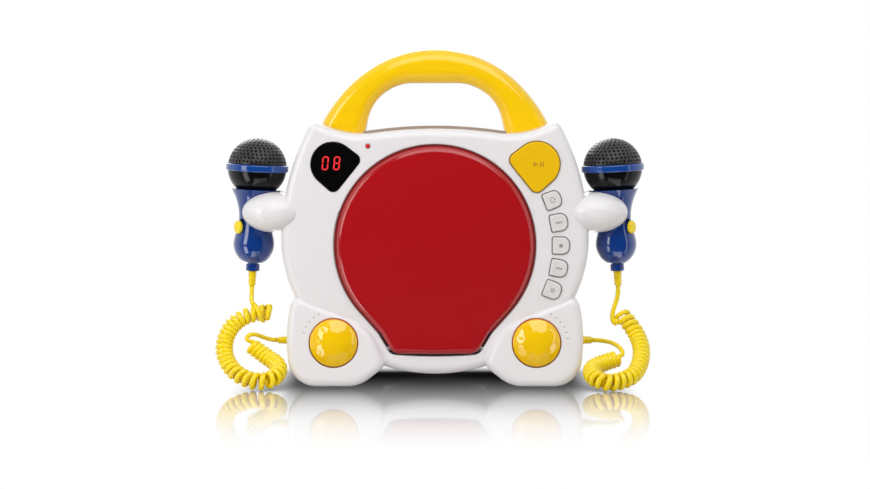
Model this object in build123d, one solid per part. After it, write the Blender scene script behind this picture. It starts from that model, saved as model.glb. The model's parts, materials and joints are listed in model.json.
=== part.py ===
from build123d import *
import math
import os

# A karaoke machine: two pale casing shells with a yellow carrying handle between them, a round red lid over
# a vertical disc well, knobs and keys on the front, and a microphone in a clip on each side.
# X runs to the right, Y to the back and Z up. Z = 0 is the surface that the foot pads stand on, and X = 0 is
# the plane of symmetry. Lengths are in millimetres.

# ---- Walls and shared allowances ----
WALL = 2.4
JOIN = 1.0
PICK = 0.01

# ---- Disc and lid: sizes, seen from the front ----
DISC_R = 60.0
LID_MARGIN = 9.2
LID_R = DISC_R + LID_MARGIN
LID_FLANK_ANGLE = 42.0
LID_FLANK = (12.626, 14.196)
LID_SHANK = (8.6, 14.9)
LID_TOE_Z = 24.9
LID_SAG = 1.3
LID_Z = LID_TOE_Z + LID_SHANK[1] + LID_FLANK[1] + LID_R * math.sin(math.radians(LID_FLANK_ANGLE))
LID_BOTTOM_Z = LID_TOE_Z - LID_SAG


def about_lid(reach, angle):
    """A place at a reach and an angle from the lid's centre, seen from the front."""
    turn = math.radians(angle)
    return reach * math.cos(turn), LID_Z + reach * math.sin(turn)


LID_START = about_lid(LID_R, -LID_FLANK_ANGLE)
LID_KNEE = (LID_START[0] - LID_FLANK[0], LID_START[1] - LID_FLANK[1])
LID_KNEE_ROUND = 22.0
LID_TOE = (LID_KNEE[0] - LID_SHANK[0], LID_KNEE[1] - LID_SHANK[1])
LID_TOE_ROUND = 4.5
LID_GAP = 1.6

# ---- Window, play button and keys, placed round the lid ----
KEY_LAND = 9.2
KEY_SIZE = 11.6
KEY_RING_R = LID_R + LID_GAP + WALL + KEY_LAND + KEY_SIZE / 2
KEY_ANGLES = {"repeat": 21.3, "skip_forward": 10.6, "stop": 0.0, "skip_back": -10.4, "mode": -20.8}
KEY_NOSE_ROUND = 4.6
KEY_HEEL_ROUND = 1.2
PANE_OUT = 22.084
PANE_ANGLE = 38.64
PANE_CENTRE = about_lid(LID_R + PANE_OUT, PANE_ANGLE)
PANE_R = 15.8
PANE_TIP_OFFSETS = [(-21.1, 3.9), (-0.7, -21.7)]
PANE_TIPS = [(PANE_CENTRE[0] + x, PANE_CENTRE[1] + z) for x, z in PANE_TIP_OFFSETS]
PANE_WAIST_OFFSET = (-11.7, -8.1)
PANE_WAIST = (PANE_CENTRE[0] + PANE_WAIST_OFFSET[0], PANE_CENTRE[1] + PANE_WAIST_OFFSET[1])
PANE_ROUND = 5.0
PANE_PROUD = 0.6
PANE_DEPTH = 3.4
PANE_FIT = 0.1
BUTTON_GAP = 0.7
BUTTON_PROUD = 1.8
BUTTON_BACK_Y = -39.6
BUTTON_FLANGE = 1.4
BUTTON_FLANGE_OUT = 0.5
BUTTON_ROUND = 1.0
STEM_R = 1.6
STEM_BACK_Y = -37.6
SWITCH_TOP_Y = -36.3
SWITCH_SIZE = 5.0
SWITCH_DEPTH = 2.0
KEY_BOARD_Y = -33.0
KEY_BOARD_ANGLES = (-27.0, 48.0)
KEY_BOARD_MARGIN = 1.0
BOARD_THICK = 1.6
BOARD_RIM = 2.0
LED_OUT = 14.73
LED_ANGLE = 56.03
LED_AT = about_lid(LID_R + LED_OUT, LED_ANGLE)
LED_R = 1.8
LED_PROUD = 0.6
LED_LENGTH = 6.0
DISPLAY_SIZE = (20.0, 22.0)
DISPLAY_DEPTH = 6.0

# ---- Casing, whose face leaves a land round the lid and outside the keys ----
FRONT_Y = -44.0
SPLIT_Y = 4.0
BACK_Y = 55.0
TOP_LAND = 12.6
SIDE_LAND = 14.0
TOP_Z = LID_Z + LID_R + TOP_LAND
CREST_DROP = 3.1
CREST_Z = TOP_Z - CREST_DROP
EAR_RISE = 6.1
EAR_Z = TOP_Z + EAR_RISE
WIDEST_X = KEY_RING_R + KEY_SIZE / 2 + SIDE_LAND
WIDEST_RISE = 3.7
WIDEST_Z = LID_Z + WIDEST_RISE
EAR_IN = 22.4
EAR_X = WIDEST_X - EAR_IN
EAR_ROUND = 5.6
CREST_IN = 41.6
CREST_X = EAR_X - CREST_IN
WAIST_IN = 9.2
WAIST_X = WIDEST_X - WAIST_IN
WAIST_Z = 64.0
HEM_IN = 28.0
HEM_X = WIDEST_X - HEM_IN
HEM_Z = 39.5
BELLY_DROP = 14.5
BELLY_Z = LID_BOTTOM_Z - BELLY_DROP
FACE_ROUND = 6.0
HIP_ROUND = 8.0
BACK_ROUND = 6.0

# ---- Foot lobes: corners of the outline, seen from the front, and their rounds ----
LOBE_BASE_Z = 1.2
LOBE_SHOULDER = (7.4, 66.0)
LOBE_HIP = (2.7, 38.0)
LOBE_HEEL_IN = 6.4
LOBE_SOLE_OUT = 14.2
LOBE_TOE = (4.4, 15.6)
LOBE_CROTCH = (5.4, 42.2)
LOBE_CORNERS = [
    (WIDEST_X - LOBE_SHOULDER[0], LOBE_SHOULDER[1]),
    (WIDEST_X - LOBE_HIP[0], LOBE_HIP[1]),
    (WIDEST_X - LOBE_HEEL_IN, LOBE_BASE_Z),
    (LID_KNEE[0] + LOBE_SOLE_OUT, LOBE_BASE_Z),
    (LID_TOE[0] + LOBE_TOE[0], LOBE_TOE[1]),
    (LID_KNEE[0] + LOBE_CROTCH[0], LOBE_CROTCH[1]),
]
LOBE_ROUNDS = [7.0, 110.0, 20.0, 26.0, 7.0, 36.0]
LOBE_TOP_Z = 62.0
LOBE_TOP_Y = -44.6
LOBE_LEAN = 6.9
LOBE_ROUND = 5.5
PAD_IN = 36.0
PAD_X = WIDEST_X - PAD_IN
PAD_SIZE = (19.0, 11.0)
PAD_CORNER = 3.0
PAD_Y = (-29.0, 40.0)

# ---- Handle, above the casing's top and between its ears ----
HANDLE_Y = 5.0
HANDLE_DEPTH = 28.0
HANDLE_ROUND = 9.5
HANDLE_RISE = 55.8
HANDLE_TOP_Z = TOP_Z + HANDLE_RISE
HANDLE_FOOT_DROP = 10.1
HANDLE_FOOT_OUT = 1.0
HANDLE_FOOT = (EAR_X + HANDLE_FOOT_OUT, TOP_Z - HANDLE_FOOT_DROP)
HANDLE_SHOULDER_IN = 25.5
HANDLE_SHOULDER_DROP = 24.5
HANDLE_SHOULDER = (EAR_X - HANDLE_SHOULDER_IN, HANDLE_TOP_Z - HANDLE_SHOULDER_DROP)
HANDLE_BAR = 24.2
HANDLE_GRIP_Z = HANDLE_TOP_Z - HANDLE_BAR
HANDLE_LEG = 35.1
HANDLE_INNER_FOOT = (HANDLE_FOOT[0] - HANDLE_LEG, HANDLE_FOOT[1])
HANDLE_INNER_SPREAD = 9.2
HANDLE_INNER_X = HANDLE_INNER_FOOT[0] - HANDLE_INNER_SPREAD
HANDLE_INNER_ROUND = 33.0
HANDLE_FIT = 0.15

# ---- Lid, recess and disc well, from front to back ----
LID_RIM_Y = -47.3
LID_CROWN = 3.4
LID_BACK_Y = -41.4
LID_ROUND = 4.2
LID_WALL = 2.2
RECESS_ROUND = 1.2
WELL_FLOOR_Y = -35.8
WELL_PLATE = 2.0
WELL_RING_GAP = 1.4
WELL_RING_WALL = 2.2
WELL_RING_Y = -39.6
WELL_EAR_R = 3.8
WELL_EAR_OUT = 6.45
WELL_EAR_ANGLE = 65.97
WELL_KNEE_EAR = (5.7, 3.3)
WELL_EARS = [
    about_lid(LID_R + WELL_EAR_OUT, WELL_EAR_ANGLE),
    (LID_KNEE[0] + WELL_KNEE_EAR[0], LID_KNEE[1] - WELL_KNEE_EAR[1]),
]
LID_AXIS_Y = -42.4
LID_AXIS_RISE = 4.1
LID_AXIS_Z = LID_BOTTOM_Z + LID_AXIS_RISE
LID_BARREL_R = 4.0
LID_BARREL_IN = 3.7
LID_BARREL_X = LID_TOE[0] - LID_BARREL_IN
LID_PIN_R = 1.2
LID_PIN_OUT = 8.8
LID_PIN_X = LID_TOE[0] + LID_PIN_OUT
PIN_BOSS_R = 3.2
PIN_FIT = 0.05

# ---- Disc mechanism ----
HUB_HOLE_R = 16.0
HUB_R = 13.5
HUB_SEAT_Y = -38.4
HUB_BACK_Y = -34.6
HUB_CONE_R = 7.4
HUB_CONE_Y = -41.2
HUB_BALL_R = 1.2
HUB_BALL_Y = -39.2
HUB_BALL_SINK = 0.6
HUB_SLOPE = 1.6
HUB_SEAT = 1.8
SHAFT_R = 1.0
SHAFT_FIT = 0.05
MOTOR_R = 12.0
MOTOR_LENGTH = 11.0
MOTOR_ROUND = 1.2
CHASSIS_Y = -30.4
CHASSIS_PLATE = 1.6
CHASSIS_X = 39.0
CHASSIS_RIM = 4.0
CHASSIS_CORNER = 6.0
CHASSIS_END = 3.5
CHASSIS_ABOVE = 23.7
DAMPER_R = 4.0
DAMPER_HOLE_R = 1.5
DAMPER_IN = (8.0, 6.5)
LENS_REACH = 25.0
LENS_EDGE = 2.0
SLED_TRAVEL = DISC_R - LENS_EDGE - LENS_REACH
SLED_X = 18.0
SLED_HEIGHT = 18.0
SLED_DEPTH = 9.0
SLED_GAP = 0.8
ROD_X = 13.0
ROD_R = 1.5
ROD_FIT = 0.05
ROD_POST = 3.0
ROD_POST_X = 5.0
LENS_Z = LID_Z - LENS_REACH
CHASSIS_BOTTOM_Z = LENS_Z - SLED_TRAVEL - SLED_HEIGHT / 2 - ROD_POST - SLED_GAP - CHASSIS_END
CHASSIS_TOP_Z = LID_Z + CHASSIS_ABOVE
DAMPER_X = CHASSIS_X - DAMPER_IN[0]
DAMPER_Z = (CHASSIS_BOTTOM_Z + DAMPER_IN[1], CHASSIS_TOP_Z - DAMPER_IN[1])
LENS_R = 3.6
LENS_COLLAR_R = 5.2
LENS_PROUD = 1.2
LENS_ROUND = 0.8
LENS_FRONT_Y = -36.8
SLOT_MARGIN = 1.6
GEAR_TEETH = 14
GEAR_MODULE = 1.0
GEAR_WIDTH = 3.0
GEAR_STEP = 1.0
GEAR_BORE_R = 1.0
GEAR_DROP = 17.3
GEAR_Z = LENS_Z - GEAR_DROP
TOOTH_SHARE = 0.34
TOOTH_TAPER = 0.35
TOOTH_ROOT = 0.4
TOOTH_HEIGHT = 1.5
TOOTH_CLEAR = 0.45
RACK_BASE = 2.4
RACK_SPARE = 3.0
RACK_ABOVE = SLED_TRAVEL - GEAR_DROP + RACK_SPARE
RACK_BELOW = GEAR_DROP + RACK_SPARE
SLED_MOTOR_R = 7.5
SLED_MOTOR_LENGTH = 10.0

# ---- Knobs ----
KNOB_IN = 36.8
KNOB_Z = 32.1
KNOB_AT = (WIDEST_X - KNOB_IN, KNOB_Z)
KNOB_R = 16.6
KNOB_HOLE_R = 17.5
KNOB_RIM_Y = -48.8
KNOB_CROWN_Y = -55.0
KNOB_BACK_Y = -44.2
KNOB_ROUND = 2.6
CUP_WALL = 1.8
CUP_FLOOR_Y = -43.2
CUP_FLOOR = 2.0
POT_SIZE = 16.0
POT_DEPTH = 7.0
POT_SHAFT_R = 3.0
POT_SHAFT_Y = -50.0
POT_SHAFT_END = 0.5
POT_FIT = 0.05
POT_HOLE_R = 3.6

# ---- Microphones and their clips ----
MIC_OUT = 18.2
MIC_X = WIDEST_X + MIC_OUT
MIC_Y = -20.0
MIC_RISE = 53.6
MIC_Z = LID_Z + MIC_RISE
MIC_TILT = 3.0
BALL_R = 20.9
BALL_WALL = 1.8
BAND_R = 22.1
BAND_HEIGHT = 5.0
BAND_ROUND = 1.2
COLLAR_Z = -15.3
COLLAR_R = 17.7
SEAT_FIT = 0.1
BODY_SHAPE = [
    (16.4, -17.6), (12.6, -27.0), (11.35, -35.0), (12.2, -43.5), (14.0, -50.5), (14.4, -55.5), (12.6, -61.5),
]
NECK_TOP_Z = -68.6
NECK_R = 4.85
NECK_END_Z = -73.3
CAVITY_R = 7.6
CAVITY_Z = (-18.0, -60.0)
BOOT_END_Z = -84.0
BOOT_R = 2.6
BOOT_TIP_R = 2.2
BOOT_RIB = 0.45
BOOT_RIBS = 5
BOOT_STUB = 4.0
BOWL_PORT_R = 5.0
CAPSULE_R = 8.0
CAPSULE_HEIGHT = 8.0
CAPSULE_STEM_R = 3.0
CAPSULE_FOOT = 1.2
SLIDER_Z = -42.2
SLIDER_SIZE = (8.6, 9.4)
SLIDER_FACE_R = 13.3
SLIDER_HEIGHT = 2.4
SLIDER_ROUND = 1.8
SLIDER_POST = (2.6, 3.0)
SLIDER_POST_SINK = 3.1
SLIDER_TRAVEL = 4.0
SLIDER_ANGLE = 50.0
SLIDER_SLOT_FIT = 0.4
SLIDER_ROOM = 1.5
CLIP_IN = 16.0
CLIP_IN_X = WIDEST_X - CLIP_IN
CLIP_OUT = 27.8
CLIP_OUT_X = WIDEST_X + CLIP_OUT
CLIP_DROP = 30.9
CLIP_Z = MIC_Z - CLIP_DROP
CLIP_HEIGHT = 28.4
CLIP_HALF_GAP = 12.5
CLIP_FRONT_Y = -50.0
CLIP_BACK_Y = 6.0
CLIP_FIT = 0.5

# ---- Microphone cords: the wire's and the curly stretch's diameters, and their routes ----
CORD_R = 1.6
COIL_R = 6.0
GLAND_Y = -14.0
GLAND_Z = 30.0
GLAND_FLANGE_R = 4.2
GLAND_FLANGE = 1.4
GLAND_FLANGE_GAP = 1.0
GLAND_OUT = 4.4
GLAND_END_X = WIDEST_X + GLAND_OUT
GLAND_R = 2.7
GLAND_TIP_R = 2.2
GLAND_RIBS = 5
ARC_SHARE = 0.45
LEFT_DROP = [(-130.96, -20.0, 63.02), (-130.2, -20.9, 56.0), (-129.2, -21.4, 50.2)]
LEFT_COIL = [
    (-117.8, -19.5, 50.6), (-131.0, -20.6, 50.6), (-145.5, -27.5, 42.0), (-150.6, -36.0, 26.5),
    (-143.5, -47.0, 12.8), (-130.0, -56.5, 6.4), (-117.7, -60.4, 6.4), (-109.8, -53.6, 10.2),
    (-109.8, -44.0, 15.8), (-117.7, -37.2, 19.8), (-130.3, -32.4, 28.0),
]
LEFT_TAIL = [
    (-131.4, -32.4, 25.6), (-135.6, -32.2, 28.6), (-134.8, -30.4, 33.4), (-128.4, -25.0, 35.6),
    (-119.0, -14.0, 30.0),
]
RIGHT_DROP = [
    (130.96, -20.0, 63.02), (127.2, -22.0, 53.6), (125.8, -23.4, 45.8), (129.4, -24.2, 41.4),
    (134.5, -24.0, 44.0),
]
RIGHT_COIL = [
    (130.6, -17.6, 51.6), (141.6, -25.8, 40.4), (147.2, -38.5, 25.0), (141.0, -53.0, 10.6),
    (128.0, -61.0, 6.4), (117.5, -64.2, 6.4), (109.6, -56.8, 9.4), (109.6, -46.4, 13.6),
    (117.5, -39.0, 16.6), (129.0, -36.8, 19.6),
]
RIGHT_TAIL = [(128.4, -37.2, 19.2), (133.4, -33.6, 22.6), (130.4, -25.6, 27.4), (119.0, -14.0, 30.0)]

# ---- Rear parts ----
SPEAKER_IN = 48.0
SPEAKER_RISE = 21.7
SPEAKER_AT = (WIDEST_X - SPEAKER_IN, LID_Z + SPEAKER_RISE)
SPEAKER_R = 27.0
SPEAKER_FLANGE = 2.6
SPEAKER_DEPTH = 20.0
SPEAKER_MAGNET_R = 15.0
SPEAKER_MAGNET = 8.0
SPEAKER_EDGE = 4.0
SPEAKER_CAP_R = 6.0
SPEAKER_CONE = 7.0
SPEAKER_FIT = 0.2
GRILLE_R = 22.0
GRILLE_SLOT = 2.2
GRILLE_PITCH = 5.2
CELL_R = 7.25
CELL_LENGTH = 50.5
CELL_FIT = 1.0
CONTACT_ROOM = 3.0
BATTERY_WALL = 1.6
BATTERY_BOTTOM_Z = 21.4
DOOR_THICK = 2.8
DOOR_GAP = 0.5
DOOR_RIM = 3.2
BATTERY_X = CELL_LENGTH + CONTACT_ROOM + BATTERY_WALL + DOOR_RIM
BATTERY_TALL = 4 * CELL_R + CELL_FIT + 2 * BATTERY_WALL
BATTERY_TOP_Z = BATTERY_BOTTOM_Z + BATTERY_TALL + DOOR_RIM
BATTERY_FRONT_Y = BACK_Y - DOOR_THICK - DOOR_GAP - 2 * CELL_R - CELL_FIT - BATTERY_WALL
DOOR_PIN_R = 1.0
DOOR_PIN_LENGTH = 3.0
GRIP_WIDTH = 16.0
GRIP_GROOVES = 4
GRIP_PITCH = 2.4
GRIP_GROOVE = (1.0, 0.6)
GRIP_BELOW_TOP = 6.0
CONTACT = (9.0, 12.0, 0.5)
CONTACT_NUB = 1.8
MAIN_BOARD = (48.0, 82.0)
MAIN_BOARD_RISE = 10.7
MAIN_BOARD_Z = LID_Z + MAIN_BOARD_RISE
MAIN_BOARD_Y = 12.0
CHIPS = [
    (-22.0, -15.0, 24.0, 18.0, 3.0), (20.0, -19.0, 14.0, 14.0, 2.2),
    (-10.0, 21.0, 16.0, 10.0, 8.0), (22.0, 17.0, 12.0, 20.0, 10.0),
]
BOARD_POST = (27.0, 35.0)
POST_R = 3.0
JACKS = {-22.0: (4.6, 2.9), 0.0: (4.2, 1.9), 22.0: (4.2, 1.9)}
JACK_DROP = 21.1
JACK_Z = TOP_Z - JACK_DROP
JACK_BODY = 11.0
JACK_DEPTH = 14.0
DC_PIN_R = 1.0
SCREW_HANDLE = (14.5, 4.0)
SCREW_SIDE = (7.4, 2.7)
SCREW_FOOT = (26.0, 16.5)
SCREW_AT = [
    (HANDLE_INNER_FOOT[0] + SCREW_HANDLE[0], HANDLE_INNER_FOOT[1] + SCREW_HANDLE[1]),
    (WIDEST_X - SCREW_SIDE[0], LID_Z + SCREW_SIDE[1]),
    (WIDEST_X - SCREW_FOOT[0], SCREW_FOOT[1]),
]
SCREW_BOSS_R = 4.2
SCREW_R = 1.4
SCREW_HOLE_R = 1.7
SCREW_HEAD_R = 2.8
SCREW_HEAD = 2.2
SCREW_LENGTH = 22.0
SCREW_SEAT_Y = 20.0
SCREW_SINK_R = 3.4
SHORT_SCREW = 7.0


LOW_X = (Align.MIN, Align.CENTER, Align.CENTER)


# ---- Shared shapes ----
def slab(outline, front, back):
    """The outline, drawn as seen from the front, made solid between two depths."""
    return extrude(Plane.XZ.offset(-back) * outline, amount=back - front)


def rod(x, z, radius, front, back):
    return slab(Pos(x, z) * Circle(radius), front, back)


def block(x, z, width, height, front, back):
    return slab(Pos(x, z) * Rectangle(width, height), front, back)


def edges_at(solid, depth):
    return solid.edges().filter_by_position(Axis.Y, depth - PICK, depth + PICK)


def mirrored(solid):
    return mirror(solid, about=Plane.YZ)


def grown(face, amount):
    """An outline moved outwards, or inwards by a negative amount, as plain lines and arcs."""
    edges = []
    for edge in offset(face, amount).edges():
        is_arc = edge.geom_type == GeomType.OFFSET
        edges.append(ThreePointArc(edge @ 0, edge @ 0.5, edge @ 1) if is_arc else edge)
    return make_face(edges)


def pair(solid):
    return [solid, mirrored(solid)]


def turned(profile):
    """A profile of (radius, height) points or edges in the XZ plane, turned about the Z axis."""
    return revolve(profile, Axis.Z)


def rounded_outline(corners, rounds):
    wire = FilletPolyline(*corners, radius=rounds, close=True)
    return make_face(wire)


def write(name, *solids):
    shape = solids[0] if len(solids) == 1 else Compound(children=list(solids))
    export_step(shape, f"parts/{name}.step")


# ---- Casing outlines ----
def casing_outline():
    crown = ThreePointArc((-CREST_X, CREST_Z), (0, TOP_Z), (CREST_X, CREST_Z))
    belly = ThreePointArc((HEM_X, HEM_Z), (0, BELLY_Z), (-HEM_X, HEM_Z))
    slope = crown % 1
    edges = [crown, belly]
    for side in (1, -1):
        ear = (side * EAR_X, EAR_Z)
        widest = (side * WIDEST_X, WIDEST_Z)
        waist = (side * WAIST_X, WAIST_Z)
        edges.append(TangentArc((side * CREST_X, CREST_Z), ear, tangent=(side * slope.X, slope.Y)))
        edges.append(TangentArc(widest, ear, tangent=(0, 1)))
        edges.append(TangentArc(widest, waist, tangent=(0, -1)))
        edges.append(Line(waist, (side * HEM_X, HEM_Z)))
    face = make_face(edges)
    ears = [v for v in face.vertices() if abs(v.Y - EAR_Z) < PICK]
    face = fillet(ears, EAR_ROUND)
    hips = [v for v in face.vertices() if abs(v.Y - WAIST_Z) < PICK]
    return fillet(hips, HIP_ROUND)


def lobe_outline():
    return rounded_outline(LOBE_CORNERS, LOBE_ROUNDS)


def lobe_face_y(z, inset=0.0):
    """Depth of a front lobe's leaning face at a height."""
    lean = math.radians(LOBE_LEAN)
    return LOBE_TOP_Y - (LOBE_TOP_Z - z) * math.tan(lean) + inset / math.cos(lean)


def front_lobe(inset):
    deepest = lobe_face_y(LOBE_BASE_Z) - WALL
    lobe = slab(grown(lobe_outline(), -inset) if inset else lobe_outline(), deepest, SPLIT_Y)
    lean = math.radians(LOBE_LEAN)
    normal = (0, -math.cos(lean), math.sin(lean))
    face = Plane(origin=(0, lobe_face_y(LOBE_TOP_Z, inset), LOBE_TOP_Z), x_dir=(1, 0, 0), z_dir=normal)
    lobe = split(lobe, bisect_by=face, keep=Keep.BOTTOM)
    rim = lobe.faces().sort_by(Axis.Y)[0].edges()
    return fillet(rim, LOBE_ROUND - inset)


def back_lobe(inset):
    lobe = slab(grown(lobe_outline(), -inset) if inset else lobe_outline(), SPLIT_Y, BACK_Y - inset)
    return fillet(edges_at(lobe, BACK_Y - inset), LOBE_ROUND - inset)


def front_envelope(inset=0.0):
    outline = grown(casing_outline(), -inset) if inset else casing_outline()
    main = slab(outline, FRONT_Y + inset, SPLIT_Y)
    main = fillet(edges_at(main, FRONT_Y + inset), FACE_ROUND - inset)
    lobe = front_lobe(inset)
    return main + lobe + mirrored(lobe)


def back_envelope(inset=0.0):
    outline = grown(casing_outline(), -inset) if inset else casing_outline()
    main = slab(outline, SPLIT_Y, BACK_Y - inset)
    main = fillet(edges_at(main, BACK_Y - inset), BACK_ROUND - inset)
    lobe = back_lobe(inset)
    return main + lobe + mirrored(lobe)


# ---- Lid outline ----
def lid_outline():
    start, knee, toe = ((-x, z) for x, z in (LID_START, LID_KNEE, LID_TOE))
    tab = make_face(
        Polyline(start, knee, toe)
        + ThreePointArc(toe, (0, LID_BOTTOM_Z), LID_TOE)
        + Polyline(LID_TOE, LID_KNEE, LID_START, start)
    )
    knees = [v for v in tab.vertices() if abs(v.Y - LID_KNEE[1]) < PICK]
    tab = fillet(knees, LID_KNEE_ROUND)
    toes = [v for v in tab.vertices() if abs(v.Y - LID_TOE[1]) < PICK]
    tab = fillet(toes, LID_TOE_ROUND)
    return Pos(0, LID_Z) * Circle(LID_R) + tab


def recess_outline():
    return grown(lid_outline(), LID_GAP)


# ---- Window, button and key outlines ----
def tangent_point(tip, side):
    """Where a line from a tip touches the pane's round end, on one side of it."""
    cx, cz = PANE_CENTRE
    reach = math.dist(tip, PANE_CENTRE)
    heading = math.atan2(tip[1] - cz, tip[0] - cx) + side * math.acos(PANE_R / reach)
    return cx + PANE_R * math.cos(heading), cz + PANE_R * math.sin(heading)


def pane_outline():
    """A drop with two tips and a hollow side that follows the lid, on the right."""
    left_tip, low_tip = PANE_TIPS
    top, right = tangent_point(left_tip, -1), tangent_point(low_tip, 1)
    reach = PANE_R / math.sqrt(2)
    crown = (PANE_CENTRE[0] + reach, PANE_CENTRE[1] + reach)
    sides = [Line(left_tip, top), ThreePointArc(top, crown, right), Line(right, low_tip)]
    face = make_face(sides + [ThreePointArc(low_tip, PANE_WAIST, left_tip)])
    tips = [v for v in face.vertices() if min(math.dist((v.X, v.Y), tip) for tip in PANE_TIPS) < PICK]
    return fillet(tips, PANE_ROUND)


def key_outline(angle):
    """A key with a flat side towards the lid and a round nose outwards."""
    half = KEY_SIZE / 2
    corners = [(-half, -half), (half, -half), (half, half), (-half, half)]
    rounds = [KEY_HEEL_ROUND, KEY_NOSE_ROUND, KEY_NOSE_ROUND, KEY_HEEL_ROUND]
    return Pos(0, LID_Z) * Rot(0, 0, angle) * Pos(KEY_RING_R, 0) * rounded_outline(corners, rounds)


def pressed_cap(outline, stem_at):
    """A key or button: a cap through the front wall, a flange behind the wall and a stem for the switch."""
    front = FRONT_Y - BUTTON_PROUD
    cap = slab(outline, front, BUTTON_BACK_Y)
    cap = fillet(edges_at(cap, front), BUTTON_ROUND)
    lip = grown(outline, BUTTON_GAP + BUTTON_FLANGE_OUT)
    cap += slab(lip, BUTTON_BACK_Y - BUTTON_FLANGE, BUTTON_BACK_Y)
    return cap + rod(*stem_at, STEM_R, BUTTON_BACK_Y, STEM_BACK_Y)


# ---- Handle ----
def handle_outline():
    sx, sz = HANDLE_SHOULDER
    fx, fz = HANDLE_FOOT
    ix, iz = HANDLE_INNER_FOOT
    crown = ThreePointArc((-sx, sz), (0, HANDLE_TOP_Z), (sx, sz))
    slope = crown % 1
    leg = TangentArc((sx, sz), (fx, fz), tangent=(slope.X, slope.Y))
    inner = FilletPolyline(
        (ix, iz), (HANDLE_INNER_X, HANDLE_GRIP_Z), (-HANDLE_INNER_X, HANDLE_GRIP_Z), (-ix, iz),
        radius=[HANDLE_INNER_ROUND] * 2,
    )
    feet = [Line((fx, fz), (ix, iz)), Line((-fx, fz), (-ix, iz))]
    return make_face([crown, leg, leg.mirror(Plane.YZ), inner, *feet])


def handle_body(grow=0.0):
    half = HANDLE_DEPTH / 2
    body = slab(handle_outline(), HANDLE_Y - half, HANDLE_Y + half)
    rims = edges_at(body, HANDLE_Y - half) + edges_at(body, HANDLE_Y + half)
    rims = [edge for edge in rims if edge.bounding_box().max.Z > HANDLE_FOOT[1] + 1]
    body = fillet(rims, HANDLE_ROUND)
    if grow:
        return offset(body, grow)
    x, z = SCREW_AT[0]
    for hole in pair(rod(x, z, SCREW_R, SCREW_SEAT_Y - SCREW_LENGTH - JOIN, SCREW_SEAT_Y)):
        body -= hole
    return body


# ---- Front shell ----
def knob_cup():
    x, z = KNOB_AT
    outer = rod(x, z, KNOB_HOLE_R + CUP_WALL, lobe_face_y(z) - WALL, CUP_FLOOR_Y + CUP_FLOOR)
    return outer


def front_shell():
    outer = front_envelope()
    shell = outer - front_envelope(WALL)
    skirt = slab(grown(recess_outline(), WALL), FRONT_Y + WALL / 2, WELL_FLOOR_Y)
    shell += skirt
    for x, z in WELL_EARS:
        for boss in pair(rod(x, z, WELL_EAR_R, FRONT_Y + WALL / 2, WELL_FLOOR_Y)):
            shell += boss
    for cup in pair(knob_cup()):
        shell += cup & outer
    for x, z in SCREW_AT[1:]:
        first = lobe_face_y(z) if z < LOBE_TOP_Z else FRONT_Y + JOIN
        for boss in pair(rod(x, z, SCREW_BOSS_R, first, SPLIT_Y)):
            shell += boss & outer
    hinge = Cylinder(PIN_BOSS_R, 2 * LID_PIN_X + 2 * WALL, rotation=(0, 90, 0))
    shell += (Pos(0, LID_AXIS_Y, LID_AXIS_Z) * hinge) & outer
    recess = slab(recess_outline(), FRONT_Y - JOIN, WELL_FLOOR_Y + JOIN)
    shell -= recess
    rim = [e for e in edges_at(shell, FRONT_Y) if on_recess_rim(e)]
    shell = fillet(rim, RECESS_ROUND)
    return front_openings(shell)


def on_recess_rim(edge):
    """True for the edges where the front face meets the lid's recess."""
    middle = edge @ 0.5
    reach = math.hypot(middle.X, middle.Z - LID_Z)
    in_tab = abs(middle.X) < LID_KNEE[0] + 4 and middle.Z < LID_Z
    return reach < LID_R + 2.5 * LID_GAP or in_tab


def front_openings(shell):
    shell -= slab(grown(mirror_sketch(pane_outline()), PANE_FIT), FRONT_Y - JOIN, FRONT_Y + WALL + JOIN)
    shell -= slab(grown(pane_outline(), BUTTON_GAP), FRONT_Y - JOIN, FRONT_Y + WALL + JOIN)
    for angle in KEY_ANGLES.values():
        shell -= slab(grown(key_outline(angle), BUTTON_GAP), FRONT_Y - JOIN, FRONT_Y + WALL + JOIN)
    shell -= rod(-LED_AT[0], LED_AT[1], LED_R + PANE_FIT, FRONT_Y - JOIN, FRONT_Y + WALL + JOIN)
    x, z = KNOB_AT
    for side in (-1, 1):
        shell -= rod(side * x, z, KNOB_HOLE_R, lobe_face_y(LOBE_BASE_Z) - WALL, CUP_FLOOR_Y)
        shell -= rod(side * x, z, POT_HOLE_R, CUP_FLOOR_Y - JOIN, CUP_FLOOR_Y + CUP_FLOOR + JOIN)
        for ex, ez in WELL_EARS:
            shell -= rod(side * ex, ez, SCREW_R, WELL_FLOOR_Y - SHORT_SCREW + WELL_PLATE, WELL_FLOOR_Y + JOIN)
        for bx, bz in SCREW_AT[1:]:
            shell -= rod(side * bx, bz, SCREW_R, SCREW_SEAT_Y - SCREW_LENGTH - JOIN, SPLIT_Y + JOIN)
    pin = Cylinder(LID_PIN_R, 2 * LID_PIN_X, rotation=(0, 90, 0))
    shell -= Pos(0, LID_AXIS_Y, LID_AXIS_Z) * pin
    gland = Pos(0, GLAND_Y, GLAND_Z) * Cylinder(GLAND_R, 4 * WIDEST_X, rotation=(0, 90, 0))
    return shell - gland - handle_body(HANDLE_FIT)


def mirror_sketch(face):
    return mirror(face, about=Plane.YZ)


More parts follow.
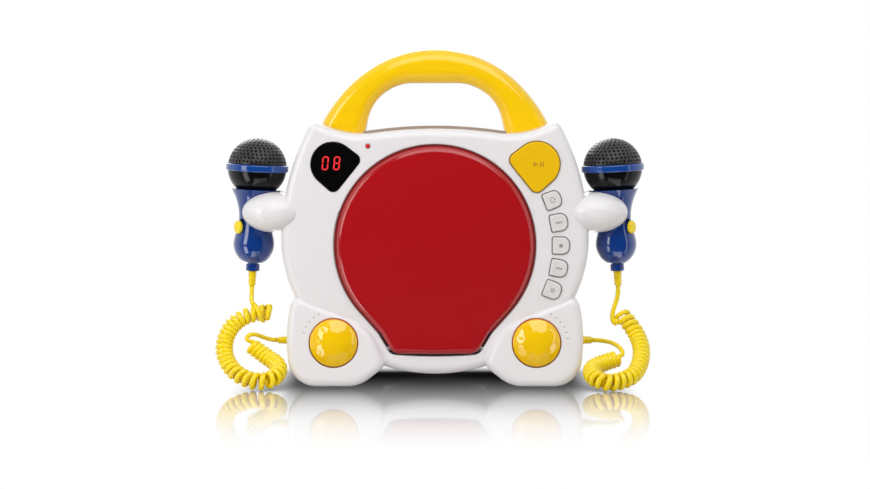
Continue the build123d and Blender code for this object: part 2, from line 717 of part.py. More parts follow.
# ---- Rear shell ----
def rear_shell():
    shell = back_envelope() - back_envelope(WALL)
    inner_back = BACK_Y - WALL / 2
    for x, z in SCREW_AT:
        first = SPLIT_Y if (x, z) != SCREW_AT[0] else HANDLE_Y + HANDLE_DEPTH / 2 + JOIN
        for boss in pair(rod(x, z, SCREW_BOSS_R, first, inner_back)):
            shell += boss & back_envelope()
    x, rise = BOARD_POST
    for z in (MAIN_BOARD_Z - rise, MAIN_BOARD_Z + rise):
        for post in pair(rod(x, z, POST_R, MAIN_BOARD_Y + BOARD_THICK, inner_back)):
            shell += post
    for side in (-1, 1):
        x, z = SPEAKER_AT
        ring = rod(side * x, z, SPEAKER_R + WALL, BACK_Y - WALL - SPEAKER_FLANGE, inner_back)
        shell += ring - rod(side * x, z, SPEAKER_R, 0, BACK_Y - WALL)
        shell -= grille_slots(side * x, z)
        for bx, bz in SCREW_AT:
            shell -= rod(side * bx, bz, SCREW_HOLE_R, 0, BACK_Y + JOIN)
            shell -= rod(side * bx, bz, SCREW_SINK_R, SCREW_SEAT_Y, BACK_Y + JOIN)
    for x, (outer, _) in JACKS.items():
        shell -= rod(x, JACK_Z, outer, BACK_Y - WALL - JOIN, BACK_Y + JOIN)
    shell -= door_opening()
    return shell - handle_body(HANDLE_FIT)


def grille_slots(x, z):
    slots = None
    rows = int(GRILLE_R / GRILLE_PITCH)
    for row in range(-rows, rows + 1):
        rise = row * GRILLE_PITCH
        half = math.sqrt(GRILLE_R**2 - rise**2)
        slot = Pos(x, z + rise) * SlotOverall(2 * half, GRILLE_SLOT)
        solid = slab(slot, BACK_Y - WALL - JOIN, BACK_Y + JOIN)
        slots = solid if slots is None else slots + solid
    return slots


def door_opening():
    """The battery opening, a ledge behind the door and holes for the door's pins."""
    middle = (BATTERY_BOTTOM_Z + BATTERY_TOP_Z) / 2
    tall = BATTERY_TOP_Z - BATTERY_BOTTOM_Z
    wide = 2 * BATTERY_X
    hole = block(0, middle, wide, tall, BACK_Y - WALL - JOIN, BACK_Y + JOIN)
    pins = Cylinder(DOOR_PIN_R + PIN_FIT, wide + 2 * DOOR_PIN_LENGTH, rotation=(0, 90, 0))
    return hole + Pos(0, door_axis_y(), door_axis_z()) * pins


def door_axis_y():
    return BACK_Y - DOOR_THICK / 2


def door_axis_z():
    return BATTERY_BOTTOM_Z + DOOR_GAP + DOOR_THICK / 2


def battery_door():
    bottom = BATTERY_BOTTOM_Z + DOOR_GAP
    top = BATTERY_TOP_Z - DOOR_GAP
    wide = 2 * (BATTERY_X - DOOR_GAP)
    door = block(0, (bottom + top) / 2, wide, top - bottom, BACK_Y - DOOR_THICK, BACK_Y)
    foot = door.edges().filter_by(Axis.X).group_by(Axis.Z)[0]
    door = fillet(foot, DOOR_THICK / 2 - PICK)
    for side in (-1, 1):
        length = DOOR_PIN_LENGTH + DOOR_GAP - 2 * DOOR_GAP / 5
        stub = Pos(side * (wide / 2 + length / 2), door_axis_y(), door_axis_z())
        door += stub * Cylinder(DOOR_PIN_R, length, rotation=(0, 90, 0))
    tall, deep = GRIP_GROOVE
    for groove in range(GRIP_GROOVES):
        z = top - GRIP_BELOW_TOP - GRIP_PITCH * groove
        door -= block(0, z, GRIP_WIDTH, tall, BACK_Y - deep, BACK_Y + JOIN)
    return door


def battery_box():
    """A tray for the cells, open towards the door."""
    wide = 2 * BATTERY_X - 2 * DOOR_RIM
    middle = (BATTERY_BOTTOM_Z + BATTERY_TOP_Z) / 2
    back = BACK_Y - DOOR_THICK - DOOR_GAP
    floor = BATTERY_FRONT_Y + BATTERY_WALL
    box = block(0, middle, wide, BATTERY_TALL, BATTERY_FRONT_Y, back)
    box -= block(0, middle, wide - 2 * BATTERY_WALL, BATTERY_TALL - 2 * BATTERY_WALL, floor, back + JOIN)
    for x in (-CELL_LENGTH / 2, CELL_LENGTH / 2):
        box += block(x, middle, CELL_LENGTH / 2, BATTERY_WALL, BATTERY_FRONT_Y, floor + CELL_R / 3)
    return box


def battery_contacts():
    """A flat tag and a spring tag at the ends of the two rows of cells."""
    wide, tall, thick = CONTACT
    middle = (BATTERY_BOTTOM_Z + BATTERY_TOP_Z) / 2
    end = BATTERY_X - DOOR_RIM - BATTERY_WALL
    solids = []
    for side in (-1, 1):
        for level in (-1, 1):
            z = middle + level * CELL_R
            y = BATTERY_FRONT_Y + BATTERY_WALL + CELL_R
            plate = Pos(side * (end - thick / 2), y, z) * Box(thick, wide, tall)
            nub = Cylinder(CONTACT_NUB, CONTACT_NUB, rotation=(0, 90, 0))
            solids.append(plate + Pos(side * (end - thick - CONTACT_NUB / 2), y, z) * nub)
    return solids


# ---- Lid, well and hinge ----
def lid_dome(sink=0.0):
    """The ball that the lid's front face is part of."""
    radius = (LID_R**2 + LID_CROWN**2) / (2 * LID_CROWN)
    centre = LID_RIM_Y - LID_CROWN + radius
    return Pos(0, centre, LID_Z) * Sphere(radius - sink)


def disc_lid():
    lid = slab(lid_outline(), LID_RIM_Y - 2 * LID_CROWN, LID_BACK_Y) & lid_dome()
    rim = lid.faces().sort_by(Axis.Y)[0].edges()
    lid = fillet(rim, LID_ROUND)
    hollow = slab(grown(lid_outline(), -LID_WALL), LID_RIM_Y - LID_CROWN, LID_BACK_Y + JOIN)
    hollow &= lid_dome(LID_WALL)
    deep = LID_RIM_Y + LID_WALL / 2
    lid -= hollow - block(0, LID_Z - 2 * LID_R, 4 * LID_R, 2 * LID_R, deep, LID_BACK_Y + 2 * JOIN)
    barrel = Pos(0, LID_AXIS_Y, LID_AXIS_Z) * Cylinder(LID_BARREL_R, 2 * LID_BARREL_X, rotation=(0, 90, 0))
    bore = Cylinder(LID_PIN_R + PIN_FIT, 4 * LID_BARREL_X, rotation=(0, 90, 0))
    return lid + barrel - Pos(0, LID_AXIS_Y, LID_AXIS_Z) * bore


def lid_hinge_pin():
    return Pos(0, LID_AXIS_Y, LID_AXIS_Z) * Cylinder(LID_PIN_R, 2 * LID_PIN_X, rotation=(0, 90, 0))


def sled_slot():
    """The slot that the lens looks through, along its whole travel."""
    width = 2 * (LENS_COLLAR_R + SLOT_MARGIN)
    near = LENS_Z + LENS_COLLAR_R + SLOT_MARGIN
    far = LENS_Z - SLED_TRAVEL - LENS_COLLAR_R - SLOT_MARGIN
    return Pos(0, (near + far) / 2) * Rectangle(width, near - far)


def disc_well():
    back = WELL_FLOOR_Y + WELL_PLATE
    well = slab(grown(recess_outline(), WALL), WELL_FLOOR_Y, back)
    ring_r = DISC_R + WELL_RING_GAP
    well += rod(0, LID_Z, ring_r + WELL_RING_WALL, WELL_RING_Y, WELL_FLOOR_Y)
    well -= rod(0, LID_Z, ring_r, WELL_RING_Y, WELL_FLOOR_Y)
    for x, z in WELL_EARS:
        for ear in pair(rod(x, z, WELL_EAR_R, WELL_FLOOR_Y, back)):
            well += ear
    well -= rod(0, LID_Z, HUB_HOLE_R, WELL_RING_Y, back + JOIN)
    well -= slab(sled_slot(), WELL_FLOOR_Y - JOIN, back + JOIN)
    for side in (-1, 1):
        for x, z in WELL_EARS:
            well -= rod(side * x, z, SCREW_HOLE_R, WELL_FLOOR_Y - JOIN, back + JOIN)
    return well


# ---- Disc mechanism ----
def sled_depths():
    front = CHASSIS_Y + CHASSIS_PLATE + SLED_GAP
    return front, front + SLED_DEPTH


def rod_y():
    front, back = sled_depths()
    return (front + back) / 2


def mech_chassis():
    back = CHASSIS_Y + CHASSIS_PLATE
    middle = (CHASSIS_BOTTOM_Z + CHASSIS_TOP_Z) / 2
    tall = CHASSIS_TOP_Z - CHASSIS_BOTTOM_Z
    outline = Pos(0, middle) * RectangleRounded(2 * CHASSIS_X, tall, CHASSIS_CORNER)
    plate = slab(outline, CHASSIS_Y, back)
    plate += slab(outline - offset(outline, -CHASSIS_PLATE), back, back + CHASSIS_RIM)
    plate -= slab(sled_slot(), CHASSIS_Y - JOIN, back + JOIN)
    plate -= rod(0, LID_Z, 2 * SHAFT_R, CHASSIS_Y - JOIN, back + JOIN)
    for z in DAMPER_Z:
        for hole in pair(rod(DAMPER_X, z, DAMPER_HOLE_R, CHASSIS_Y - JOIN, back + JOIN)):
            plate -= hole
    low, high = rod_ends()
    for z in (low + ROD_POST / 2, high - ROD_POST / 2):
        for post in pair(block(ROD_X, z, ROD_POST_X, ROD_POST, back, rod_y() + ROD_R + 1)):
            plate += post
    for x in (-ROD_X, ROD_X):
        plate -= Pos(x, rod_y(), (low + high) / 2) * Cylinder(ROD_R, high - low)
    shelf_front = gear_depths()[1] + SLED_GAP
    shelf_back = shelf_front + CHASSIS_PLATE
    inner_x = gear_x() - SLED_MOTOR_R
    tall = 2 * SLED_MOTOR_R
    bracket = block(CHASSIS_X - CHASSIS_PLATE / 2, GEAR_Z, CHASSIS_PLATE, tall, back, shelf_back)
    bracket += block((inner_x + CHASSIS_X) / 2, GEAR_Z, CHASSIS_X - inner_x, tall, shelf_front, shelf_back)
    bracket -= rod(gear_x(), GEAR_Z, 2 * GEAR_BORE_R, shelf_front - JOIN, shelf_back + JOIN)
    return plate + bracket - rack_notch()


def rack_notch():
    """Room for the rack where it passes through the chassis rim at the far end of its travel."""
    front, back = gear_depths()
    thick = RACK_BASE + TOOTH_HEIGHT
    room = block(SLED_X + thick / 2, CHASSIS_BOTTOM_Z, thick + 2 * SLED_GAP, 2 * (CHASSIS_PLATE + JOIN),
                 front - SLED_GAP, back + SLED_GAP)
    return room


def rod_ends():
    low = CHASSIS_BOTTOM_Z + CHASSIS_END
    high = LENS_Z + SLED_HEIGHT / 2 + ROD_POST + SLED_GAP
    return low, high


def guide_rods():
    low, high = rod_ends()
    return [Pos(x, rod_y(), (low + high) / 2) * Cylinder(ROD_R, high - low) for x in (-ROD_X, ROD_X)]


def mech_dampers():
    gap = WELL_FLOOR_Y + WELL_PLATE
    rings = []
    for z in DAMPER_Z:
        ring = rod(DAMPER_X, z, DAMPER_R, gap, CHASSIS_Y) - rod(DAMPER_X, z, DAMPER_HOLE_R, gap, CHASSIS_Y)
        rings += pair(ring)
    return rings


def spindle_motor():
    back = CHASSIS_Y + CHASSIS_PLATE
    motor = rod(0, LID_Z, MOTOR_R, back, back + MOTOR_LENGTH)
    motor = fillet(edges_at(motor, back + MOTOR_LENGTH), MOTOR_ROUND)
    return motor + rod(0, LID_Z, SHAFT_R, HUB_SEAT_Y, back)


def spindle_hub():
    profile = [(0, HUB_CONE_Y), (HUB_CONE_R - HUB_SLOPE, HUB_CONE_Y), (HUB_CONE_R, HUB_CONE_Y + HUB_SLOPE)]
    profile += [(HUB_CONE_R, HUB_SEAT_Y), (HUB_R, HUB_SEAT_Y), (HUB_R, HUB_SEAT_Y + HUB_SEAT)]
    profile += [(HUB_CONE_R, HUB_SEAT_Y + HUB_SEAT), (HUB_CONE_R, HUB_BACK_Y), (0, HUB_BACK_Y)]
    face = make_face(Polyline(*[(r, y, 0) for r, y in profile], close=True))
    hub = Pos(0, 0, LID_Z) * revolve(face, Axis.Y)
    for angle in (90, 210, 330):
        turn = math.radians(angle)
        reach = HUB_CONE_R - HUB_BALL_R * HUB_BALL_SINK
        place = Pos(reach * math.cos(turn), HUB_BALL_Y, LID_Z + reach * math.sin(turn))
        hub += place * Sphere(HUB_BALL_R)
    return hub - rod(0, LID_Z, SHAFT_R + SHAFT_FIT, HUB_SEAT_Y - SHAFT_FIT, HUB_BACK_Y + JOIN)


def gear_x():
    """Centre of the gear, beside the rack."""
    return SLED_X + RACK_BASE + TOOTH_HEIGHT + TOOTH_CLEAR + gear_root_r()


def gear_root_r():
    return GEAR_TEETH * GEAR_MODULE / 2 - TOOTH_HEIGHT / 2


def gear_depths():
    front, _ = sled_depths()
    return front + GEAR_STEP, front + GEAR_STEP + GEAR_WIDTH


def tooth(half_base, half_tip, height):
    root = -TOOTH_ROOT
    return Polygon((-half_base, root), (half_base, root), (half_tip, height), (-half_tip, height), align=None)


def tooth_halves():
    pitch = math.pi * GEAR_MODULE
    half = pitch * TOOTH_SHARE / 2
    return half * (1 + TOOTH_TAPER), half * (1 - TOOTH_TAPER)


def pickup_sled():
    front, back = sled_depths()
    z = LENS_Z
    body = block(0, z, 2 * SLED_X, SLED_HEIGHT, front, back)
    body += rod(0, z, LENS_COLLAR_R, LENS_FRONT_Y + LENS_PROUD, front)
    body -= rod(0, z, LENS_R, LENS_FRONT_Y - JOIN, front)
    for x in (-ROD_X, ROD_X):
        body -= Pos(x, rod_y(), z) * Cylinder(ROD_R + ROD_FIT, 2 * SLED_HEIGHT)
    gear_front, gear_back = gear_depths()
    tall = RACK_ABOVE + RACK_BELOW
    rack_z = z + (RACK_ABOVE - RACK_BELOW) / 2
    body += block(SLED_X + RACK_BASE / 2, rack_z, RACK_BASE, tall, gear_front, gear_back)
    pitch = math.pi * GEAR_MODULE
    first = math.ceil((z - RACK_BELOW + 1 - GEAR_Z) / pitch - 0.5)
    last = math.floor((z + RACK_ABOVE - 1 - GEAR_Z) / pitch - 0.5)
    for index in range(first, last + 1):
        place = Pos(SLED_X + RACK_BASE, GEAR_Z + (index + 0.5) * pitch) * Rot(0, 0, -90)
        body += slab(place * tooth(*tooth_halves(), TOOTH_HEIGHT), gear_front, gear_back)
    return body


def pickup_lens():
    front, _ = sled_depths()
    lens = rod(0, LENS_Z, LENS_R, LENS_FRONT_Y, front)
    return fillet(edges_at(lens, LENS_FRONT_Y), LENS_ROUND)


def sled_gear():
    front, back = gear_depths()
    gear = rod(gear_x(), GEAR_Z, gear_root_r(), front, back)
    for index in range(GEAR_TEETH):
        place = Pos(gear_x(), GEAR_Z) * Rot(0, 0, 90 + index * 360 / GEAR_TEETH) * Pos(0, gear_root_r())
        gear += slab(place * tooth(*tooth_halves(), TOOTH_HEIGHT), front, back)
    return gear - rod(gear_x(), GEAR_Z, GEAR_BORE_R + SHAFT_FIT, front - JOIN, back + JOIN)


def sled_motor():
    _, back = gear_depths()
    front = back + SLED_GAP + CHASSIS_PLATE
    motor = rod(gear_x(), GEAR_Z, SLED_MOTOR_R, front, front + SLED_MOTOR_LENGTH)
    return motor + rod(gear_x(), GEAR_Z, GEAR_BORE_R, gear_depths()[0], front)


# ---- Front controls ----
def display_window():
    front = FRONT_Y - PANE_PROUD
    pane = slab(mirror_sketch(pane_outline()), front, front + PANE_DEPTH)
    return fillet(edges_at(pane, front), PANE_PROUD)


def display_module():
    x, z = -PANE_CENTRE[0], PANE_CENTRE[1]
    wide, tall = DISPLAY_SIZE
    front = FRONT_Y - PANE_PROUD + PANE_DEPTH
    back = front + DISPLAY_DEPTH
    module = block(x, z, wide, tall, front, back)
    return module + block(x, z, wide + 2 * BOARD_RIM, tall + BOARD_RIM, back, back + BOARD_THICK)


def status_led():
    x, z = -LED_AT[0], LED_AT[1]
    front = FRONT_Y - LED_PROUD
    led = rod(x, z, LED_R, front, front + LED_LENGTH)
    return fillet(edges_at(led, front), LED_R * 0.8)


def play_button():
    return pressed_cap(pane_outline(), (PANE_CENTRE[0], PANE_CENTRE[1]))


def key_board():
    """The board behind the play button and the keys, with a switch behind each of them."""
    inner = LID_R + LID_GAP + WALL + 3 * KEY_BOARD_MARGIN
    outer = KEY_RING_R + KEY_SIZE / 2 + KEY_BOARD_MARGIN
    sector = Pos(0, LID_Z) * (Circle(outer) - Circle(inner))
    reach = 2 * outer
    low, high = (math.radians(angle) for angle in KEY_BOARD_ANGLES)
    corners = [(0, 0), (reach * math.cos(low), reach * math.sin(low)), (reach, 0)]
    corners.append((reach * math.cos(high), reach * math.sin(high)))
    wedge = Polygon(*corners, align=None)
    board = slab(sector & (Pos(0, LID_Z) * wedge), KEY_BOARD_Y, KEY_BOARD_Y + BOARD_THICK)
    places = [about_lid(KEY_RING_R, angle) for angle in KEY_ANGLES.values()] + [PANE_CENTRE]
    for x, z in places:
        board += block(x, z, SWITCH_SIZE, SWITCH_SIZE, KEY_BOARD_Y - SWITCH_DEPTH, KEY_BOARD_Y)
        board += rod(x, z, STEM_R, SWITCH_TOP_Y, KEY_BOARD_Y - SWITCH_DEPTH)
    return board


def knob():
    x, z = KNOB_AT
    rim = (KNOB_R, KNOB_RIM_Y)
    crown = ThreePointArc((0, KNOB_CROWN_Y), (KNOB_R * 0.6, KNOB_CROWN_Y + 1.7), rim)
    sides = Polyline(rim, (KNOB_R, KNOB_BACK_Y), (0, KNOB_BACK_Y), (0, KNOB_CROWN_Y))
    cap = revolve(make_face(crown + sides), Axis.Y)
    rims = cap.edges().filter_by(GeomType.CIRCLE)
    cap = fillet([edge for edge in rims if abs((edge @ 0).Y - KNOB_RIM_Y) < PICK], KNOB_ROUND)
    cap = Pos(x, 0, z) * cap
    return cap - rod(x, z, POT_SHAFT_R + POT_FIT, POT_SHAFT_Y - POT_SHAFT_END, KNOB_BACK_Y + JOIN)


def control_pots():
    x, z = KNOB_AT
    front = CUP_FLOOR_Y + CUP_FLOOR
    pot = block(x, z, POT_SIZE, POT_SIZE, front, front + POT_DEPTH)
    pot += rod(x, z, POT_SHAFT_R, POT_SHAFT_Y, front)
    return pair(pot)


def speakers():
    x, z = SPEAKER_AT
    back = BACK_Y - WALL
    front = back - SPEAKER_DEPTH
    flange = back - SPEAKER_FLANGE
    rim_r = SPEAKER_R - SPEAKER_FIT
    cone_r = SPEAKER_R - SPEAKER_EDGE
    magnet_back = front + SPEAKER_MAGNET
    profile = [(0, front), (SPEAKER_MAGNET_R, front), (SPEAKER_MAGNET_R, magnet_back), (cone_r, flange)]
    profile += [(rim_r, flange), (rim_r, back), (cone_r, back), (SPEAKER_CAP_R, back - SPEAKER_CONE)]
    profile.append((0, back - SPEAKER_CONE + 1))
    face = make_face(Polyline(*[(r, y, 0) for r, y in profile], close=True))
    return pair(Pos(x, 0, z) * revolve(face, Axis.Y))


def main_board():
    half, tall = MAIN_BOARD
    board = block(0, MAIN_BOARD_Z, 2 * half, tall, MAIN_BOARD_Y, MAIN_BOARD_Y + BOARD_THICK)
    for x, rise, wide, tall, thick in CHIPS:
        board += block(x, MAIN_BOARD_Z + rise, wide, tall, MAIN_BOARD_Y - thick, MAIN_BOARD_Y)
    return board


def rear_jacks():
    """A supply inlet with its pin, and two round sockets, each a barrel on a square body."""
    solids = []
    for x, (outer, hole) in JACKS.items():
        front = BACK_Y - WALL - JACK_DEPTH
        jack = block(x, JACK_Z, JACK_BODY, JACK_BODY, front, BACK_Y - WALL)
        jack += rod(x, JACK_Z, outer - PANE_FIT, front, BACK_Y)
        jack -= rod(x, JACK_Z, hole, front + 4, BACK_Y + JOIN)
        if hole > 2 * DC_PIN_R:
            jack += rod(x, JACK_Z, DC_PIN_R, front + 2, BACK_Y - 2)
        solids.append(jack)
    return solids


def screw(x, z, seat, length):
    """A pan-head screw with its head's underside at the seat, pointing to the front."""
    head = rod(x, z, SCREW_HEAD_R, seat, seat + SCREW_HEAD)
    head = fillet(edges_at(head, seat + SCREW_HEAD), 0.8)
    cross = block(x, z, SCREW_HEAD_R, 0.8, seat + SCREW_HEAD - 1, seat + SCREW_HEAD + JOIN)
    cross += block(x, z, 0.8, SCREW_HEAD_R, seat + SCREW_HEAD - 1, seat + SCREW_HEAD + JOIN)
    return head - cross + rod(x, z, SCREW_R, seat - length, seat)


def case_screws():
    solids = []
    for side in (-1, 1):
        for x, z in SCREW_AT:
            solids.append(screw(side * x, z, SCREW_SEAT_Y, SCREW_LENGTH))
        for x, z in WELL_EARS:
            solids.append(screw(side * x, z, WELL_FLOOR_Y + WELL_PLATE, SHORT_SCREW - JOIN))
    return solids


def foot_pads():
    solids = []
    for y in PAD_Y:
        for x in (-PAD_X, PAD_X):
            outline = RectangleRounded(*PAD_SIZE, PAD_CORNER)
            solids.append(Pos(x, y, 0) * extrude(outline, LOBE_BASE_Z))
    return solids


# ---- Microphones ----
def mic_place(side):
    """From a microphone's own frame, with its ball's centre at the origin and its handle downwards."""
    return Pos(side * MIC_X, MIC_Y, MIC_Z) * Rot(0, -side * MIC_TILT, 0)


def mic_handle(side):
    top = (COLLAR_R, COLLAR_Z)
    flank = Spline([top, *BODY_SHAPE, (NECK_R, NECK_TOP_Z)])
    rest = Polyline((NECK_R, NECK_TOP_Z), (NECK_R, NECK_END_Z), (0, NECK_END_Z), (0, COLLAR_Z), top)
    section = make_face(Plane.XZ * (flank + rest))
    body = turned(section)
    high, low = CAVITY_Z
    body -= Pos(0, 0, (high + low) / 2) * Cylinder(CAVITY_R, high - low)
    body -= Sphere(BALL_R + SEAT_FIT)
    body -= Pos(0, 0, (low + NECK_END_Z) / 2) * Cylinder(BOOT_R, low - NECK_END_Z + 2 * JOIN)
    return mic_place(side) * (body - slider_slot(side))


def slider_frame(side):
    """From a frame whose X points out of the handle's front, turned to the switch's own side."""
    heading = -90 + side * SLIDER_ANGLE
    return Rot(0, 0, heading)


def slider_slot(side):
    deep, wide = SLIDER_POST
    tall = deep + SLIDER_TRAVEL + 2 * SLIDER_SLOT_FIT
    middle = SLIDER_Z + SLIDER_TRAVEL / 2
    slot = Pos(SLIDER_FACE_R - 2, 0, middle) * Box(10, wide + 2 * SLIDER_SLOT_FIT, tall)
    return slider_frame(side) * slot


def slider_cap():
    """The switch's oval cap, standing out along X."""
    wide, tall = SLIDER_SIZE
    oval = Plane.YZ.offset(SLIDER_FACE_R) * Ellipse(wide / 2, tall / 2)
    return extrude(oval, SLIDER_HEIGHT)


def mic_switch(side):
    cap = slider_cap()
    top = cap.faces().sort_by(Axis.X)[-1].edges()
    cap = fillet(top, SLIDER_ROUND)
    deep, wide = SLIDER_POST
    post = Pos(SLIDER_FACE_R - SLIDER_POST_SINK, 0, 0) * Box(SLIDER_POST_SINK + PICK, wide, deep, align=LOW_X)
    cap = Pos(0, 0, SLIDER_Z) * (cap + post)
    return mic_place(side) * slider_frame(side) * cap


def ball_shell(low, high):
    ball = Sphere(BALL_R) - Sphere(BALL_R - BALL_WALL)
    return ball & Pos(0, 0, (low + high) / 2) * Box(4 * BALL_R, 4 * BALL_R, high - low)


def mic_grille(side):
    return mic_place(side) * ball_shell(BAND_HEIGHT / 2, 2 * BALL_R)


def mic_bowl(side):
    bowl = ball_shell(-2 * BALL_R, -BAND_HEIGHT / 2)
    return mic_place(side) * (bowl - Pos(0, 0, -BALL_R) * Cylinder(BOWL_PORT_R, BALL_R))


def mic_band(side):
    ring = Cylinder(BAND_R, BAND_HEIGHT) - Cylinder(BALL_R - BALL_WALL, BAND_HEIGHT)
    outer = [e for e in ring.edges().filter_by(GeomType.CIRCLE) if e.radius > BALL_R]
    return mic_place(side) * fillet(outer, BAND_ROUND)


def mic_capsule(side):
    floor = -math.sqrt((BALL_R - BALL_WALL) ** 2 - (BOWL_PORT_R + 1) ** 2)
    head = Pos(0, 0, -CAPSULE_HEIGHT / 2) * Cylinder(CAPSULE_R, CAPSULE_HEIGHT)
    stem = Pos(0, 0, (floor - CAPSULE_HEIGHT) / 2) * Cylinder(CAPSULE_STEM_R, -CAPSULE_HEIGHT - floor)
    foot = Pos(0, 0, floor + CAPSULE_FOOT / 2) * Cylinder(BOWL_PORT_R + 0.9, CAPSULE_FOOT)
    return mic_place(side) * (head + stem + foot)


def ribbed(top, end, top_r, end_r, ribs, rib):
    """A tapered sleeve along -Z with ribs round it."""
    length = top - end
    sleeve = Pos(0, 0, end) * Cone(end_r, top_r, length, align=(Align.CENTER, Align.CENTER, Align.MIN))
    step = length / ribs
    for index in range(ribs):
        z = top - step * (index + 0.5)
        radius = top_r + (end_r - top_r) * (top - z) / length + rib
        sleeve += Pos(0, 0, z) * Cylinder(radius, step / 2)
    return sleeve


def mic_boot(side):
    boot = ribbed(NECK_END_Z, BOOT_END_Z, BOOT_R, BOOT_TIP_R, BOOT_RIBS, BOOT_RIB)
    boot += Pos(0, 0, NECK_END_Z + BOOT_STUB / 2) * Cylinder(BOOT_R, BOOT_STUB)
    return mic_place(side) * boot


def mic_sweep():
    """The room that a microphone needs in its clip, straight out sideways."""
    points = [(COLLAR_R, COLLAR_Z), *BODY_SHAPE]
    outline = [(-r - CLIP_FIT, z) for r, z in points] + [(r + CLIP_FIT, z) for r, z in reversed(points)]
    face = Plane.YZ * make_face(Polyline(*outline, close=True))
    return extrude(face, 2 * CLIP_OUT_X)


def mic_holder(side):
    """A clip of two fingers that a microphone slides into from the side."""
    middle = (CLIP_IN_X + CLIP_OUT_X) / 2
    half_wide, half_tall = (CLIP_OUT_X - CLIP_IN_X) / 2, CLIP_HEIGHT / 2
    front, back = MIC_Y - CLIP_HALF_GAP, MIC_Y + CLIP_HALF_GAP
    pod = slab(Pos(middle, CLIP_Z) * Ellipse(half_wide, half_tall), front, back)
    for y, deep, turn in ((front, front - CLIP_FRONT_Y, 90), (back, CLIP_BACK_Y - back, -90)):
        dome = scale(Sphere(1, arc_size1=0, align=None), by=(half_wide, half_tall, deep))
        pod += Pos(middle, y, CLIP_Z) * Rot(turn, 0, 0) * dome
    place = mic_place(1)
    room = place * mic_sweep()
    flank = [(r + CLIP_FIT, z) for r, z in [(COLLAR_R, COLLAR_Z), *BODY_SHAPE]]
    lane = Polyline((0, COLLAR_Z), *flank, (0, BODY_SHAPE[-1][1]), close=True)
    lane = place * turned(make_face(Plane.XZ * lane))
    cap = place * slider_frame(1) * Pos(0, 0, SLIDER_Z + SLIDER_TRAVEL / 2) * slider_room()
    pod = pod - room - lane - cap
    pod = pod - front_envelope() - back_envelope()
    pod = pod.solids().sort_by(SortBy.VOLUME)[-1]
    return pod if side > 0 else mirrored(pod)


def slider_room():
    wide, tall = SLIDER_SIZE
    deep, tall = SLIDER_HEIGHT + SLIDER_ROOM, tall + SLIDER_TRAVEL + 2 * SLIDER_ROOM
    return Pos(SLIDER_FACE_R + SLIDER_HEIGHT / 2, 0, 0) * Box(2 * deep, wide + 2 * SLIDER_ROOM, tall)


# ---- Cords ----
def cable_gland():
    """A ribbed sleeve out of the right side of the front shell, with a flange inside the wall."""
    wall_x = gland_wall_x()
    sleeve = ribbed(0, -(GLAND_END_X - wall_x), GLAND_R, GLAND_TIP_R, GLAND_RIBS, BOOT_RIB)
    length = WALL + GLAND_FLANGE_GAP + GLAND_FLANGE
    stub = Pos(0, 0, length / 2) * Cylinder(GLAND_R, length)
    flange = Pos(0, 0, length - GLAND_FLANGE / 2) * Cylinder(GLAND_FLANGE_R, GLAND_FLANGE)
    return Pos(wall_x, GLAND_Y, GLAND_Z) * Rot(0, -90, 0) * (sleeve + stub + flange)


def gland_wall_x():
    """Where the gland's axis leaves the side of the casing."""
    line = Line((KNOB_AT[0], GLAND_Z), (2 * WIDEST_X, GLAND_Z))
    hits = [v.X for e in lobe_outline().edges() for v in (e.intersect(line) or [])]
    return max(hits)


def wire_radii(points, name):
    """The arc that fits each corner of a route, and a printed note of the smallest."""
    radii = []
    for a, b, c in zip(points, points[1:], points[2:]):
        first, second = Vector(*b) - Vector(*a), Vector(*c) - Vector(*b)
        half = math.radians(first.get_angle(second)) / 2
        radii.append(ARC_SHARE * min(first.length, second.length) / math.tan(half))
    print(name, "radii", [round(r, 1) for r in radii])
    return radii


def tube(points, radius, name):
    path = FilletPolyline(*points, radius=wire_radii(points, name))
    start = Plane(origin=path @ 0, z_dir=path % 0)
    solid = sweep(start * Circle(radius), path=path)
    wanted = math.pi * radius**2 * path.length
    print(name, "length", round(path.length, 1), "volume share", round(solid.volume / wanted, 4))
    return solid


def boot_tip(side):
    tip = (mic_place(side) * Pos(0, 0, BOOT_END_Z)).position
    return tip.X, tip.Y, tip.Z


def gland_tip(side):
    return side * GLAND_END_X, GLAND_Y, GLAND_Z


def cords():
    for name, side, drop, coil, tail in (
        ("left", -1, LEFT_DROP, LEFT_COIL, LEFT_TAIL),
        ("right", 1, RIGHT_DROP, RIGHT_COIL, RIGHT_TAIL),
    ):
        write(f"{name}_cord_mic_run", tube([boot_tip(side), *drop], CORD_R, f"{name} drop"))
        write(f"{name}_cord_coil", tube(coil, COIL_R, f"{name} coil"))
        write(f"{name}_cord_case_run", tube([*tail, gland_tip(side)], CORD_R, f"{name} tail"))


